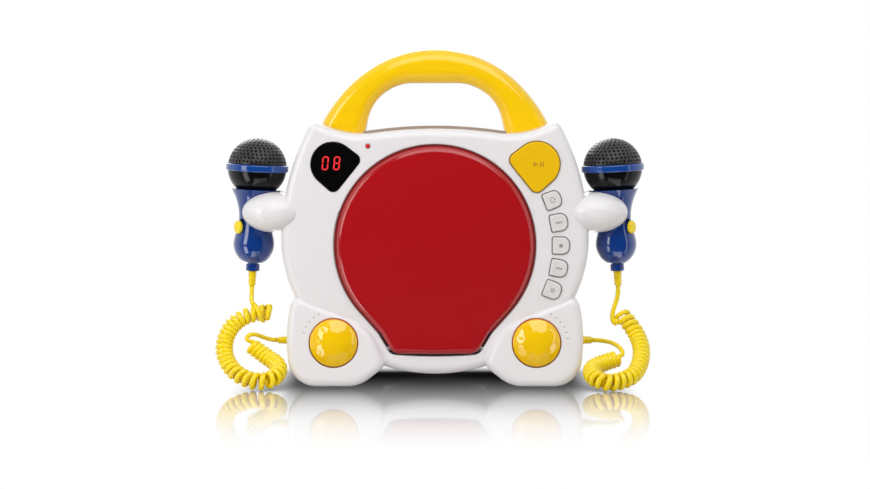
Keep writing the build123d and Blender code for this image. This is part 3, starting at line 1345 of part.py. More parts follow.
# ---- Everything ----
def main():
    os.makedirs("parts", exist_ok=True)
    write("front_shell", front_shell())
    write("rear_shell", rear_shell())
    write("handle", handle_body())
    write("disc_lid", disc_lid())
    write("lid_hinge_pin", lid_hinge_pin())
    write("disc_well", disc_well())
    write("mech_chassis", mech_chassis())
    write("mech_dampers", *mech_dampers())
    write("spindle_motor", spindle_motor())
    write("spindle_hub", spindle_hub())
    write("guide_rods", *guide_rods())
    write("pickup_sled", pickup_sled())
    write("pickup_lens", pickup_lens())
    write("sled_gear", sled_gear())
    write("sled_motor", sled_motor())
    write("display_window", display_window())
    write("display_module", display_module())
    write("status_led", status_led())
    write("play_button", play_button())
    for name, angle in KEY_ANGLES.items():
        write(f"{name}_button", pressed_cap(key_outline(angle), about_lid(KEY_RING_R, angle)))
    write("key_board", key_board())
    write("microphone_knob", mirrored(knob()))
    write("volume_knob", knob())
    write("control_pots", *control_pots())
    write("speakers", *speakers())
    write("main_board", main_board())
    write("rear_jacks", *rear_jacks())
    write("battery_box", battery_box())
    write("battery_contacts", *battery_contacts())
    write("battery_door", battery_door())
    write("case_screws", *case_screws())
    write("foot_pads", *foot_pads())
    for name, side in (("left", -1), ("right", 1)):
        write(f"{name}_mic_handle", mic_handle(side))
        write(f"{name}_mic_bowl", mic_bowl(side))
        write(f"{name}_mic_grille", mic_grille(side))
        write(f"{name}_mic_band", mic_band(side))
        write(f"{name}_mic_capsule", mic_capsule(side))
        write(f"{name}_mic_switch", mic_switch(side))
        write(f"{name}_mic_boot", mic_boot(side))
        write(f"{name}_mic_holder", mic_holder(side))
        write(f"{name}_cable_gland", cable_gland() if side > 0 else mirrored(cable_gland()))
    cords()


main()
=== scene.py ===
import json
import math

import bmesh
import bpy
from mathutils import Matrix, Vector


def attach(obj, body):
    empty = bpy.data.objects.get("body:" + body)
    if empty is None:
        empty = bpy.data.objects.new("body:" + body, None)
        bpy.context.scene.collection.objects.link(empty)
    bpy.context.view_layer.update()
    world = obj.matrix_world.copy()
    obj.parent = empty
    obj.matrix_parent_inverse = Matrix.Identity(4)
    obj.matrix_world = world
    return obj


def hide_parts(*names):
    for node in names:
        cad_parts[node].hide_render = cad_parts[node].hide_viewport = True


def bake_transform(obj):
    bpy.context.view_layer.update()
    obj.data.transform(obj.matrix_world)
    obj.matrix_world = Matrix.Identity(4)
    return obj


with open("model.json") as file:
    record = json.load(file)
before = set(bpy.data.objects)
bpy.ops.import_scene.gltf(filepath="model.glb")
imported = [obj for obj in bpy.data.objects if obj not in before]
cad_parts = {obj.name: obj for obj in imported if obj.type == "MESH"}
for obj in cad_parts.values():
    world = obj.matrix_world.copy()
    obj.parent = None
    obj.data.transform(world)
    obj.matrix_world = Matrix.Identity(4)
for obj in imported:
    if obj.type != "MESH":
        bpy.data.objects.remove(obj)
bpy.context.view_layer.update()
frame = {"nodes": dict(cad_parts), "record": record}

# The looks of a karaoke machine: its materials, the pieces that the CAD leaves plain, and the studio.
# It stands on the floor at z = 0 and faces -Y. Its left is the side of negative X, as seen from the front.
NODES = frame["nodes"]
MM = 0.001
SIDES = {"left": -1, "right": 1}

# ---- Places and sizes of the object, in millimetres, as in the CAD source ----
# A name with _Y is the depth of a face, and one with _AT a place as (x, z), or as (x, y, z).
# What is there on both sides is given for the right one.
LID_R = 69.2
LID_Z = 100.3
LID_FLANK_ANGLE = -42
LID_KNEE = (38.8, 39.8)
KEY_RING_R = 88.2
KEY_FACE_Y = -45.8
KEY_ANGLES = {"repeat": 21.3, "skip_forward": 10.6, "stop": 0.0, "skip_back": -10.4, "mode": -20.8}
PANE_AT = (71.3, 157.3)
PANE_FACE_Y = -44.6
KNOB_AT = (71.2, 32.1)
KNOB_R = 16.6
KNOB_RIM_Y = -48.8
KNOB_CROWN_Y = -55.0
KNOB_BACK_Y = -44.2
# The lower corners of the case: depth and height of the top of their face, and its lean in degrees.
LOBE_TOP = (-44.6, 62.0)
LOBE_LEAN = 6.9
MIC_AT = (126.2, -20.0, 153.9)
MIC_TILT = 3.0
BALL_R = 20.9
BALL_WALL = 1.8
BAND_HALF = 2.5
BOOT_END = -84.0
GLAND_TIP = (112.4, -14.0, 30.0)


def mm(*values):
    """A place that is given in millimetres, in metres."""
    return Vector(values) * MM


# ---- Camera ----
CAMERA_AT = mm(0, -1495.4, 215.3)
CAMERA_TARGET = mm(0, 0, 97.6)
LENS_MM = 86.0
SENSOR_MM = 36.0
VIEW_END = 20.0


def make_camera():
    camera = bpy.data.objects.new("camera", bpy.data.cameras.new("camera"))
    bpy.context.scene.collection.objects.link(camera)
    camera.location = CAMERA_AT
    camera.rotation_euler = (CAMERA_TARGET - CAMERA_AT).to_track_quat("-Z", "Y").to_euler()
    camera.data.lens = LENS_MM
    camera.data.sensor_width = SENSOR_MM
    camera.data.clip_end = VIEW_END
    bpy.context.scene.camera = camera


make_camera()


# ---- Materials ----
CLOUD_SCALE = 38.0
CLOUD_DETAIL = 3.0
ROUGHNESS_SPREAD = 0.15
GRAIN_DEPTH = 0.0004
BEVEL_SAMPLES = 12
COAT_ROUGHNESS = 0.03
# Which of a colour Mix node's sockets are its factor, its two colours and its result.
MIX_FACTOR, MIX_A, MIX_B, MIX_RESULT = 0, 6, 7, 2


def srgb(r, g, b):
    """A colour as it is written for a screen, from 0 to 255, as the linear one that shaders take."""
    def linear(value):
        c = value / 255
        return c / 12.92 if c <= 0.04045 else ((c + 0.055) / 1.055) ** 2.4
    return (linear(r), linear(g), linear(b), 1.0)


def look(r, g, b, roughness, tint, bump, **rest):
    """The values of one surface, with its colour as written for a screen."""
    return dict(colour=srgb(r, g, b), roughness=roughness, tint=tint, bump=bump, **rest)


def surface(name, colour, roughness, tint, bump, grain=900.0, metallic=0.0, coat=0.0, gloss=0.5,
            edge=0.0, glow=0.0):
    """A moulded, metal or lit surface, with a faint change of colour and gloss and a fine grain.

    tint is the share that its colour changes by, bump the strength of its grain, edge the radius in
    metres to which the shading rounds its sharp edges, and glow the strength of its own light.
    """
    material = bpy.data.materials.new(name)
    material.use_nodes = True
    nodes, links = material.node_tree.nodes, material.node_tree.links
    shader = nodes["Principled BSDF"]
    place = nodes.new("ShaderNodeTexCoord")
    cloud = nodes.new("ShaderNodeTexNoise")
    cloud.inputs["Scale"].default_value = CLOUD_SCALE
    cloud.inputs["Detail"].default_value = CLOUD_DETAIL
    links.new(place.outputs["Object"], cloud.inputs["Vector"])
    shade = nodes.new("ShaderNodeMix")
    shade.data_type = "RGBA"
    shade.inputs[MIX_A].default_value = [c * (1 - tint) for c in colour[:3]] + [1]
    shade.inputs[MIX_B].default_value = [min(1, c * (1 + tint)) for c in colour[:3]] + [1]
    links.new(cloud.outputs["Fac"], shade.inputs[MIX_FACTOR])
    links.new(shade.outputs[MIX_RESULT], shader.inputs["Base Color"])
    rough = nodes.new("ShaderNodeMapRange")
    rough.inputs["To Min"].default_value = roughness * (1 - ROUGHNESS_SPREAD)
    rough.inputs["To Max"].default_value = roughness * (1 + ROUGHNESS_SPREAD)
    links.new(cloud.outputs["Fac"], rough.inputs["Value"])
    links.new(rough.outputs["Result"], shader.inputs["Roughness"])
    fine = nodes.new("ShaderNodeTexNoise")
    fine.inputs["Scale"].default_value = grain
    links.new(place.outputs["Object"], fine.inputs["Vector"])
    relief = nodes.new("ShaderNodeBump")
    relief.inputs["Strength"].default_value = bump
    relief.inputs["Distance"].default_value = GRAIN_DEPTH
    links.new(fine.outputs["Fac"], relief.inputs["Height"])
    links.new(relief.outputs["Normal"], shader.inputs["Normal"])
    if edge:
        soft = nodes.new("ShaderNodeBevel")
        soft.samples = BEVEL_SAMPLES
        soft.inputs["Radius"].default_value = edge
        links.new(soft.outputs["Normal"], relief.inputs["Normal"])
        links.new(soft.outputs["Normal"], shader.inputs["Coat Normal"])
    if glow:
        shader.inputs["Emission Color"].default_value = colour
        shader.inputs["Emission Strength"].default_value = glow
    shader.inputs["Metallic"].default_value = metallic
    shader.inputs["Specular IOR Level"].default_value = gloss
    shader.inputs["Coat Weight"].default_value = coat
    shader.inputs["Coat Roughness"].default_value = COAT_ROUGHNESS
    return material


# Each look's colour, roughness, tint and bump, and then what isn't as usual.
LOOKS = {
    "white_plastic": look(236, 233, 234, 0.3, 0.01, 0.012, coat=0.3, gloss=0.4),
    "white_key_plastic": look(224, 220, 218, 0.34, 0.01, 0.015),
    "yellow_plastic": look(255, 206, 0, 0.2, 0.02, 0.008, coat=0.6, gloss=0.3),
    "red_lid_plastic": look(176, 14, 22, 0.16, 0.03, 0.0, coat=1.0, gloss=0.3, edge=0.003),
    "yellow_key_plastic": look(240, 190, 0, 0.32, 0.03, 0.015, gloss=0.3),
    "yellow_knob_plastic": look(255, 204, 0, 0.12, 0.03, 0.004, coat=0.8, gloss=0.4),
    "yellow_cord": look(255, 224, 0, 0.28, 0.02, 0.02, coat=0.5, gloss=0.4),
    "blue_plastic": look(8, 56, 134, 0.16, 0.04, 0.006, coat=0.8, gloss=0.4),
    "light_blue_plastic": look(6, 66, 146, 0.2, 0.04, 0.01, coat=0.5),
    "black_ball": look(9, 8, 9, 0.16, 0.05, 0.004, gloss=0.25),
    "black_plastic": look(28, 28, 30, 0.45, 0.05, 0.04),
    "dark_plastic": look(52, 52, 56, 0.45, 0.05, 0.04),
    "grey_plastic": look(128, 128, 130, 0.42, 0.04, 0.03),
    "ivory_plastic": look(228, 222, 204, 0.4, 0.03, 0.02),
    "black_rubber": look(26, 26, 26, 0.75, 0.08, 0.1),
    "smoke_window": look(6, 5, 6, 0.05, 0.02, 0.0, coat=0.2, gloss=0.3),
    "red_digits": look(215, 40, 48, 0.3, 0.02, 0.0, glow=0.75),
    "red_light": look(205, 24, 26, 0.15, 0.03, 0.0, coat=0.6),
    "lens_glass": look(96, 110, 160, 0.04, 0.02, 0.0, coat=1.0),
    "circuit_board": look(28, 86, 50, 0.4, 0.1, 0.06, grain=300.0),
    "steel": look(186, 186, 188, 0.28, 0.03, 0.03, metallic=1.0),
    "grey_print": look(150, 146, 146, 0.6, 0.04, 0.0),
    # Painted shade of the knobs' sides, down the gaps round them.
    "knob_gap_painted_shade": look(196, 78, 8, 0.3, 0.04, 0.0),
    # Painted shade of the red lid's side, down the gap round it.
    "lid_gap_painted_shade": look(140, 28, 26, 0.3, 0.04, 0.0),
    # Painted shade of the white lip under the handle.
    "lip_painted_shade": look(166, 148, 134, 0.4, 0.03, 0.01),
    "ball_paint": look(34, 32, 31, 0.3, 0.05, 0.015),
    "gold_print": look(196, 140, 20, 0.5, 0.04, 0.0),
}
MATERIALS = {name: surface(name, **values) for name, values in LOOKS.items()}


def dress(obj, name):
    """Gives an object one look, which is most often that of its material slot in the record."""
    obj.data.materials.clear()
    obj.data.materials.append(MATERIALS[name])


for part in frame["record"]["subparts"]:
    dress(NODES[part["node"]], part["material_slot"])
# The microphones' switches are the cords' brighter yellow.
for side_name in SIDES:
    dress(NODES[f"{side_name}_mic_switch"], "yellow_cord")


# ---- Pieces ----
def add_mesh(name, mesh, body, slot, look_name=None):
    """A new piece of the object, in its place, on its body if that is given here."""
    obj = bpy.data.objects.new(name, mesh)
    bpy.context.scene.collection.objects.link(obj)
    dress(obj, look_name or slot)
    if body:
        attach(obj, body)
    return obj


def finished(name, mesh, smooth=True):
    """The mesh data of a bmesh, with its faces turned outwards."""
    bmesh.ops.recalc_face_normals(mesh, faces=mesh.faces)
    data = bpy.data.meshes.new(name)
    mesh.to_mesh(data)
    mesh.free()
    for face in data.polygons:
        face.use_smooth = smooth
    return data


def circle(count):
    """The directions from a circle's centre to evenly spaced points on it."""
    turns = [2 * math.pi * k / count for k in range(count)]
    return [(math.cos(turn), math.sin(turn)) for turn in turns]


def bridge(mesh, first, second):
    """Faces between two rings of points. Either ring may be a single point."""
    for k in range(max(len(first), len(second))):
        corners = [first[k % len(first)], first[(k + 1) % len(first)],
                   second[(k + 1) % len(second)], second[k % len(second)]]
        corners = list(dict.fromkeys(corners))
        if len(corners) > 2:
            mesh.faces.new(corners)


def loft(mesh, rings):
    """Faces along a row of rings, with a cap on each end."""
    for first, second in zip(rings, rings[1:]):
        bridge(mesh, first, second)
    mesh.faces.new(rings[0][::-1])
    mesh.faces.new(rings[-1])


def mic_frame(side):
    """From a microphone's own frame, in millimetres, to the object's, in metres."""
    x, y, z = MIC_AT
    turn = Matrix.Rotation(math.radians(-side * MIC_TILT), 4, "Y")
    return Matrix.Scale(MM, 4) @ Matrix.Translation((side * x, y, z)) @ turn


# ---- Cords: the routes of the CAD source, and a helix round the curly stretch ----
LEFT_DROP = [(-130.96, -20.0, 63.02), (-130.4, -24.4, 57.5)]
LEFT_COIL = [
    (-117.8, -19.5, 50.6), (-131.0, -20.6, 50.6), (-145.5, -27.5, 42.0), (-150.6, -36.0, 26.5),
    (-143.5, -47.0, 12.8), (-130.0, -56.5, 6.4), (-117.7, -60.4, 6.4), (-109.8, -53.6, 10.2),
    (-109.8, -44.0, 15.8), (-117.7, -37.2, 19.8), (-130.3, -32.4, 28.0),
]
LEFT_TAIL = [(-134.2, -29.6, 31.8), (-133.0, -29.0, 35.0), (-128.4, -25.0, 36.0), (-119.0, -14.0, 30.0)]
RIGHT_DROP = [(130.96, -20.0, 63.02), (127.2, -22.0, 53.6), (125.8, -23.4, 45.8), (128.8, -25.2, 41.8)]
RIGHT_COIL = [
    (130.6, -17.6, 51.6), (141.6, -25.8, 40.4), (147.2, -38.5, 25.0), (141.0, -53.0, 10.6),
    (128.0, -61.0, 6.4), (117.5, -64.2, 6.4), (109.6, -56.8, 9.4), (109.6, -46.4, 13.6),
    (117.5, -39.0, 16.6), (129.0, -36.8, 19.6),
]
RIGHT_TAIL = [(132.4, -39.4, 22.4), (132.6, -33.6, 25.4), (128.4, -23.6, 28.8), (119.0, -14.0, 30.0)]
TURN_POINTS = 16
COIL_TURNS = 34
# How close the turns lie, at some shares of the curly stretch's length.
COIL_DENSITY = [
    (0.0, 0.7), (0.12, 0.8), (0.2, 1.15), (0.42, 1.15),
    (0.52, 0.72), (0.68, 0.76), (0.76, 1.2), (1.0, 1.15),
]
# The wire meets the curly stretch this far along it. On the left it first winds back to the start.
BACK_TURNS = {"left": 1.0, "right": 0.0}
BACK_REACH = {"left": 10.0, "right": 4.0}
# Where it winds back, it lies this much outside the other turns.
PROUD_WIRE = 2.4
HELIX_R = 4.4
# The wire's radius on its straight ends and in its turns, and the diameter that it is declared with.
CORD_R = 1.65
COIL_WIRE_R = 2.0
CORD_RESOLUTION = 3
WIRE_SIDES = 12
# The wire is thinner on its straight ends, taken as STRAIGHT long for each of their points, and
# reaches its full thickness SWELL further in.
STRAIGHT = 6.0
SWELL = 30.0


def smooth_line(points, resolution=24):
    """Points along the NURBS spline that has these control points."""
    curve = bpy.data.curves.new("route", "CURVE")
    curve.dimensions = "3D"
    spline = curve.splines.new("NURBS")
    spline.points.add(len(points) - 1)
    for target, point in zip(spline.points, points):
        target.co = (*point, 1)
    spline.order_u = 3
    spline.use_endpoint_u = True
    spline.resolution_u = resolution
    holder = bpy.data.objects.new("route", curve)
    mesh = bpy.data.meshes.new_from_object(holder)
    line = [vertex.co.copy() for vertex in mesh.vertices]
    bpy.data.objects.remove(holder)
    bpy.data.curves.remove(curve)
    bpy.data.meshes.remove(mesh)
    return line


def lengths_along(line):
    """The length of the line up to each of its points."""
    total = [0.0]
    for a, b in zip(line, line[1:]):
        total.append(total[-1] + (b - a).length)
    return total


def carried_frames(line):
    """A pair of sideways directions at each point, carried along the line without twist."""
    tangents = [(b - a).normalized() for a, b in zip(line, line[1:])]
    tangents.append(tangents[-1])
    side = tangents[0].cross(Vector((0, 0, 1))).normalized()
    frames = []
    for tangent in tangents:
        side = (side - tangent * side.dot(tangent)).normalized()
        frames.append((side, tangent.cross(side)))
    return frames


def heading(point, centre, frame_at):
    """The angle at which a point lies round a centre, seen along the line there."""
    side, up = frame_at
    away = Vector(point) - centre
    return math.atan2(away.dot(up), away.dot(side))


def density_share(share):
    """How much of the coil's turns lie before this share of its length."""
    def area(limit):
        total = 0.0
        for (a, low), (b, high) in zip(COIL_DENSITY, COIL_DENSITY[1:]):
            end = min(limit, b)
            if end > a:
                there = low + (high - low) * (end - a) / (b - a)
                total += (low + there) / 2 * (end - a)
        return total
    return area(share) / area(1.0)


def coil_points(route, before, after, back_turns, back_reach):
    """Points of a helix round a route, which starts towards one point and ends towards another."""
    line = smooth_line([Vector(p) for p in route])
    total = lengths_along(line)
    frames = carried_frames(line)

    def spot(reach, angle, radius):
        index = 0
        while index < len(line) - 2 and total[index + 1] < reach:
            index += 1
        share = (reach - total[index]) / (total[index + 1] - total[index])
        side, up = frames[index]
        centre = line[index].lerp(line[index + 1], share)
        return centre + radius * (math.cos(angle) * side + math.sin(angle) * up)

    index = next(i for i, length in enumerate(total) if length >= back_reach)
    start = heading(before, line[index], frames[index])
    end = heading(after, line[-1], frames[-1])
    points = []
    back_steps = int(back_turns * TURN_POINTS)
    for step in range(back_steps):
        share = step / back_steps
        angle = start - 2 * math.pi * back_turns * share
        points.append(spot(back_reach * (1 - share), angle, HELIX_R + PROUD_WIRE * (1 - share)))
    first = 0.0 if back_steps else back_reach
    start -= 2 * math.pi * back_turns
    whole = -2 * math.pi * COIL_TURNS
    whole += (end - start - whole + math.pi) % (2 * math.pi) - math.pi
    count = COIL_TURNS * TURN_POINTS
    for step in range(count + 1):
        share = step / count
        reach = first + (total[-1] - first) * share
        points.append(spot(reach, start + whole * density_share(share), HELIX_R))
    return points


def tube_mesh(name, points, radii):
    """A round tube round a line of points, closed at both ends."""
    mesh = bmesh.new()
    rings = []
    for point, radius, (side, up) in zip(points, radii, carried_frames(points)):
        places = [point + radius * (x * side + y * up) for x, y in circle(WIRE_SIDES)]
        rings.append([mesh.verts.new(place) for place in places])
    loft(mesh, rings)
    return finished(name, mesh)


def wire_radii(line, ahead, behind):
    """The wire's radius along a cord: a little more where it is curled than on its straight ends."""
    total = lengths_along(line)
    radii = []
    for length in total:
        inside = min(length - STRAIGHT * ahead, total[-1] - STRAIGHT * behind - length) / SWELL
        radii.append(CORD_R + (COIL_WIRE_R - CORD_R) * min(1.0, max(0.0, inside)))
    return radii


def mic_cord(name, drop, coil, tail):
    """One unbroken cord: from the microphone's boot, round its turns and into the gland on the case."""
    side = SIDES[name]
    boot_tip = mic_frame(side) @ Vector((0, 0, BOOT_END)) / MM
    gland_tip = Vector((side * GLAND_TIP[0], *GLAND_TIP[1:]))
    turns = coil_points(coil, drop[-1], tail[0], BACK_TURNS[name], BACK_REACH[name])
    stops = [boot_tip, *map(Vector, drop), *turns, *map(Vector, tail), gland_tip]
    line = smooth_line(stops, CORD_RESOLUTION)
    path = [point * MM for point in line]
    radii = wire_radii(line, len(drop) + 1, len(tail) + 1)
    mesh = tube_mesh(f"{name}_curly_cord", path, [radius * MM for radius in radii])
    cord = add_mesh(f"{name}_curly_cord", mesh, None, "yellow_cord")
    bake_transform(cord)
    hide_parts(f"{name}_cord_mic_run", f"{name}_cord_coil", f"{name}_cord_case_run")


mic_cord("left", LEFT_DROP, LEFT_COIL, LEFT_TAIL)
mic_cord("right", RIGHT_DROP, RIGHT_COIL, RIGHT_TAIL)


# ---- Microphone grilles: the ball's upper half, a dome with rings of oval holes ----
HOLE_SIZE = (0.68, 0.92)
HOLE_PITCH = 3.1
HOLE_SIDES = 8
# The first ring's height on the ball and the step from ring to ring, in degrees.
HOLE_RINGS = (13.0, 7.6)
BALL_STEPS = 64
DOME_STEPS = 24
ON_AXIS = 1e-6


def lathe(name, profile, steps):
    """A closed profile of (radius, height) points, turned about the Z axis."""
    mesh = bmesh.new()
    rings = []
    for radius, height in profile:
        around = circle(steps) if radius > ON_AXIS else [(0, 0)]
        rings.append([mesh.verts.new((radius * x, radius * y, height)) for x, y in around])
    for first, second in zip(rings, rings[1:] + rings[:1]):
        bridge(mesh, first, second)
    return finished(name, mesh)


def dome_profile(radius, low):
    """The (radius, height) points of a ball's profile, from a low height up to its pole."""
    start = math.asin(low / radius)
    angles = [start + (math.pi / 2 - start) * k / DOME_STEPS for k in range(DOME_STEPS + 1)]
    return [(radius * math.cos(angle), radius * math.sin(angle)) for angle in angles]


def hole_cutters():
    """Oval pegs through the ball, in rings. Every other ring is turned by half a hole's pitch."""
    mesh = bmesh.new()
    first, step = HOLE_RINGS
    for ring in range(int((90 - first) / step) + 1):
        rise = math.radians(first + ring * step)
        count = max(1, round(2 * math.pi * BALL_R * math.cos(rise) / HOLE_PITCH))
        for k in range(count):
            around = 2 * math.pi * (k + (ring % 2) / 2) / count
            turn = Matrix.Rotation(around, 4, "Z") @ Matrix.Rotation(math.pi / 2 - rise, 4, "Y")
            oval = Matrix.Diagonal((HOLE_SIZE[1], HOLE_SIZE[0], 1, 1))
            place = turn @ Matrix.Translation((0, 0, BALL_R)) @ oval
            bmesh.ops.create_cone(mesh, cap_ends=True, segments=HOLE_SIDES, radius1=1, radius2=1,
                                  depth=4 * BALL_WALL, matrix=place)
    return finished("cutters", mesh, False)


def mic_grille(name):
    """The dome of one microphone with its holes cut, in place of the CAD's plain dome."""
    outer = dome_profile(BALL_R, BAND_HALF)
    inner = dome_profile(BALL_R - BALL_WALL, BAND_HALF)
    dome = lathe(f"{name}_mic_mesh", outer + inner[::-1], BALL_STEPS)
    grille = add_mesh(f"{name}_mic_mesh", dome, None, "black_ball", "ball_paint")
    cutter = bpy.data.objects.new("cutter", hole_cutters())
    bpy.context.scene.collection.objects.link(cutter)
    cut = grille.modifiers.new("holes", "BOOLEAN")
    cut.object = cutter
    cut.solver = "EXACT"
    graph = bpy.context.evaluated_depsgraph_get()
    holed = bpy.data.meshes.new_from_object(grille.evaluated_get(graph))
    grille.modifiers.clear()
    grille.data = holed
    bpy.data.objects.remove(cutter)
    grille.data.transform(mic_frame(SIDES[name]))
    grille.data.name = f"{name}_mic_mesh"
    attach(grille, f"{name}_microphone")
    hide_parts(f"{name}_mic_grille")


for side_name in SIDES:
    mic_grille(side_name)


# ---- The lid's dark edge: painted shade of the lid's side, seen down the gap round it ----
SKIRT_FACE_Y = -44.3
# The edge's section: how far out from the lid's outline, and how far behind the edge's own face.
SKIRT_PROFILE = [(-0.8, 0.0), (1.25, 0.2), (1.25, 0.8), (-0.8, 0.8)]
SKIRT_STEP = 2


def lid_skirt():
    """A thin dark red edge round the lid, down to where its sides turn in: painted shade of the lid's side
    in the gap.
    """
    arc = [math.radians(k) for k in range(LID_FLANK_ANGLE, 180 - LID_FLANK_ANGLE + 1, SKIRT_STEP)]
    around = [(LID_R * math.cos(a), LID_Z + LID_R * math.sin(a)) for a in arc]
    outline = [LID_KNEE, *around, (-LID_KNEE[0], LID_KNEE[1])]
    outward = [(math.cos(a), math.sin(a)) for a in [arc[0], *arc, arc[-1]]]
    mesh = bmesh.new()
    rings = []
    for (x, z), (out_x, out_z) in zip(outline, outward):
        rings.append([mesh.verts.new(mm(x + out_x * reach, SKIRT_FACE_Y + depth, z + out_z * reach))
                      for reach, depth in SKIRT_PROFILE])
    loft(mesh, rings)
    # Its dark red is painted shade of the lid's side in the gap, not a colour of the lid.
    add_mesh("lid_skirt", finished("lid_skirt", mesh, False), "lid", "red_lid_plastic", "lid_gap_painted_shade")


lid_skirt()


# ---- The lip across the top, between the legs of the handle ----
LIP_HALF = 50.0
LIP_STEPS = 40
LIP_FRONT = -36.0
LIP_BACK = -33.5
LIP_RISE = 2.0
LIP_ROUND = 0.5
LIP_ROOT = 0.6
ABOVE_ALL = 400


def top_lip():
    """A low lip that follows the top of the front shell, and is rooted in it. Its grey-brown is painted
    shade: white plastic in the handle's shadow, tinted by its yellow.
    """
    shell = NODES["front_shell"]
    to_shell = shell.matrix_world.inverted()
    down = (to_shell.to_3x3() @ Vector((0, 0, -1))).normalized()
    mesh = bmesh.new()
    rings = []
    for k in range(LIP_STEPS + 1):
        x = LIP_HALF * (2 * k / LIP_STEPS - 1)
        hit = shell.ray_cast(to_shell @ mm(x, LIP_BACK, ABOVE_ALL), down)[1]
        crest = (shell.matrix_world @ hit).z / MM
        foot, shoulder, top = crest - LIP_ROOT, crest + LIP_RISE - LIP_ROUND, crest + LIP_RISE
        profile = [(LIP_FRONT, foot), (LIP_FRONT, shoulder), (LIP_FRONT + LIP_ROUND, top),
                   (LIP_BACK - LIP_ROUND, top), (LIP_BACK, shoulder), (LIP_BACK, foot)]
        rings.append([mesh.verts.new(mm(x, y, z)) for y, z in profile])
    loft(mesh, rings)
    # The lip is white plastic; its grey-brown look is painted shade.
    add_mesh("top_lip", finished("top_lip", mesh, False), "case", "white_plastic", "lip_painted_shade")


top_lip()


# ---- Knobs: domes with two rings of shallow hollows, and a dark amber edge of painted shade in the gap round them ----
KNOB_RINGS = 40
KNOB_STEPS = 144
KNOB_FULLNESS = 2.4
# Each ring of hollows: its radius as a share of the knob's, how many, and how deep.
DIMPLES = [(0.7, 8, 0.36), (0.3, 4, 0.24)]
DIMPLE_R = 2.6
# The edge's section: how far out from the knob's side, and its Y.
KNOB_EDGE = [(-0.3, -47.4), (0.3, -47.3), (0.7, -47.0), (0.7, -46.0), (-0.3, -46.0)]


def knob_depth(x, z):
    """Depth of the dome's face at a place, measured from its axis."""
    reach = math.hypot(x, z)
    crown = KNOB_CROWN_Y + (KNOB_RIM_Y - KNOB_CROWN_Y) * (reach / KNOB_R) ** KNOB_FULLNESS
    for share, count, depth in DIMPLES:
        for k in range(count):
            turn = 2 * math.pi * (k + share) / count
            away = math.hypot(x - share * KNOB_R * math.cos(turn), z - share * KNOB_R * math.sin(turn))
            crown += depth * math.exp(-((away / DIMPLE_R) ** 2))
    return crown


def knob_cap(name, node, body, side):
    """One knob's cap, in place of the CAD's plain one, and the dark amber edge round it, which is painted
    shade of the knob's side down the gap.
    """
    def ring_of(mesh, places):
        return [mesh.verts.new(mm(side * KNOB_AT[0] + x, y, KNOB_AT[1] + z)) for x, y, z in places]

    around = circle(KNOB_STEPS)
    dome = bmesh.new()
    rings = [ring_of(dome, [(0, knob_depth(0, 0), 0)])]
    for k in range(1, KNOB_RINGS + 1):
        reach = KNOB_R * k / KNOB_RINGS
        flat = [(reach * across, reach * up) for across, up in around]
        rings.append(ring_of(dome, [(x, knob_depth(x, z), z) for x, z in flat]))
    rings.append(ring_of(dome, [(KNOB_R * across, KNOB_BACK_Y, KNOB_R * up) for across, up in around]))
    for first, second in zip(rings, rings[1:]):
        bridge(dome, first, second)
    dome.faces.new(rings[-1])
    cap = add_mesh(name, finished(name, dome), body, "yellow_knob_plastic")
    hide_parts(node)
    edge = bmesh.new()
    hoops = []
    for out, depth in KNOB_EDGE:
        reach = KNOB_R + out
        hoops.append(ring_of(edge, [(reach * across, depth, reach * up) for across, up in around]))
    for first, second in zip(hoops, hoops[1:] + hoops[:1]):
        bridge(edge, first, second)
    skirt = finished(f"{name}_skirt", edge)
    # The edge's amber is painted shade: the yellow knob's side as it looks in shadow down the gap.
    add_mesh(f"{name}_skirt", skirt, body, "yellow_knob_plastic", "knob_gap_painted_shade")


knob_cap("microphone_knob_cap", "microphone_knob", "left_knob", -1)
knob_cap("volume_knob_cap", "volume_knob", "right_knob", 1)


# ---- Prints: thin flat shapes just proud of a face ----
PRINT_PROUD = 0.06


def flat_print(name, outlines, place, body, slot, look_name=None):
    """Flat shapes drawn as seen from the front, in millimetres, laid on a plane of the object."""
    mesh = bmesh.new()
    for outline in outlines:
        front = [mesh.verts.new(place @ Vector((x, -PRINT_PROUD, z))) for x, z in outline]
        back = [mesh.verts.new(place @ Vector((x, 0, z))) for x, z in outline]
        mesh.faces.new(front)
        mesh.faces.new(back[::-1])
        for k in range(len(outline)):
            j = (k + 1) % len(outline)
            mesh.faces.new((front[k], back[k], back[j], front[j]))
    return add_mesh(name, finished(name, mesh, False), body, slot, look_name)


def on_front(x, y, z, turn=0.0, lean=0.0):
    """The plane of a print: its place, its turn as seen from the front and its lean, in degrees."""
    place = Matrix.Scale(MM, 4) @ Matrix.Translation((x, y, z))
    tilt = Matrix.Rotation(math.radians(-lean), 4, "X")
    return place @ tilt @ Matrix.Rotation(math.radians(-turn), 4, "Y")


def triangle(x, size, direction=1):
    """An arrowhead that points right, or left with a direction of -1."""
    half = size / 2
    return [(x - direction * half, -half), (x + direction * half, 0), (x - direction * half, half)]


def bar(x, z, wide, tall):
    """A rectangle round its middle."""
    left, right, low, high = x - wide / 2, x + wide / 2, z - tall / 2, z + tall / 2
    return [(left, low), (right, low), (right, high), (left, high)]


def arc_band(radius, width, start, end, steps=14):
    """A curved band in a few straight pieces, as separate outlines."""
    inner, outer = radius - width / 2, radius + width / 2
    pieces = []
    for k in range(steps):
        a, b = (math.radians(start + (end - start) * (k + e) / steps) for e in (0, 1))
        corners = [(inner, a), (outer, a), (outer, b), (inner, b)]
        pieces.append([(reach * math.cos(angle), reach * math.sin(angle)) for reach, angle in corners])
    return pieces


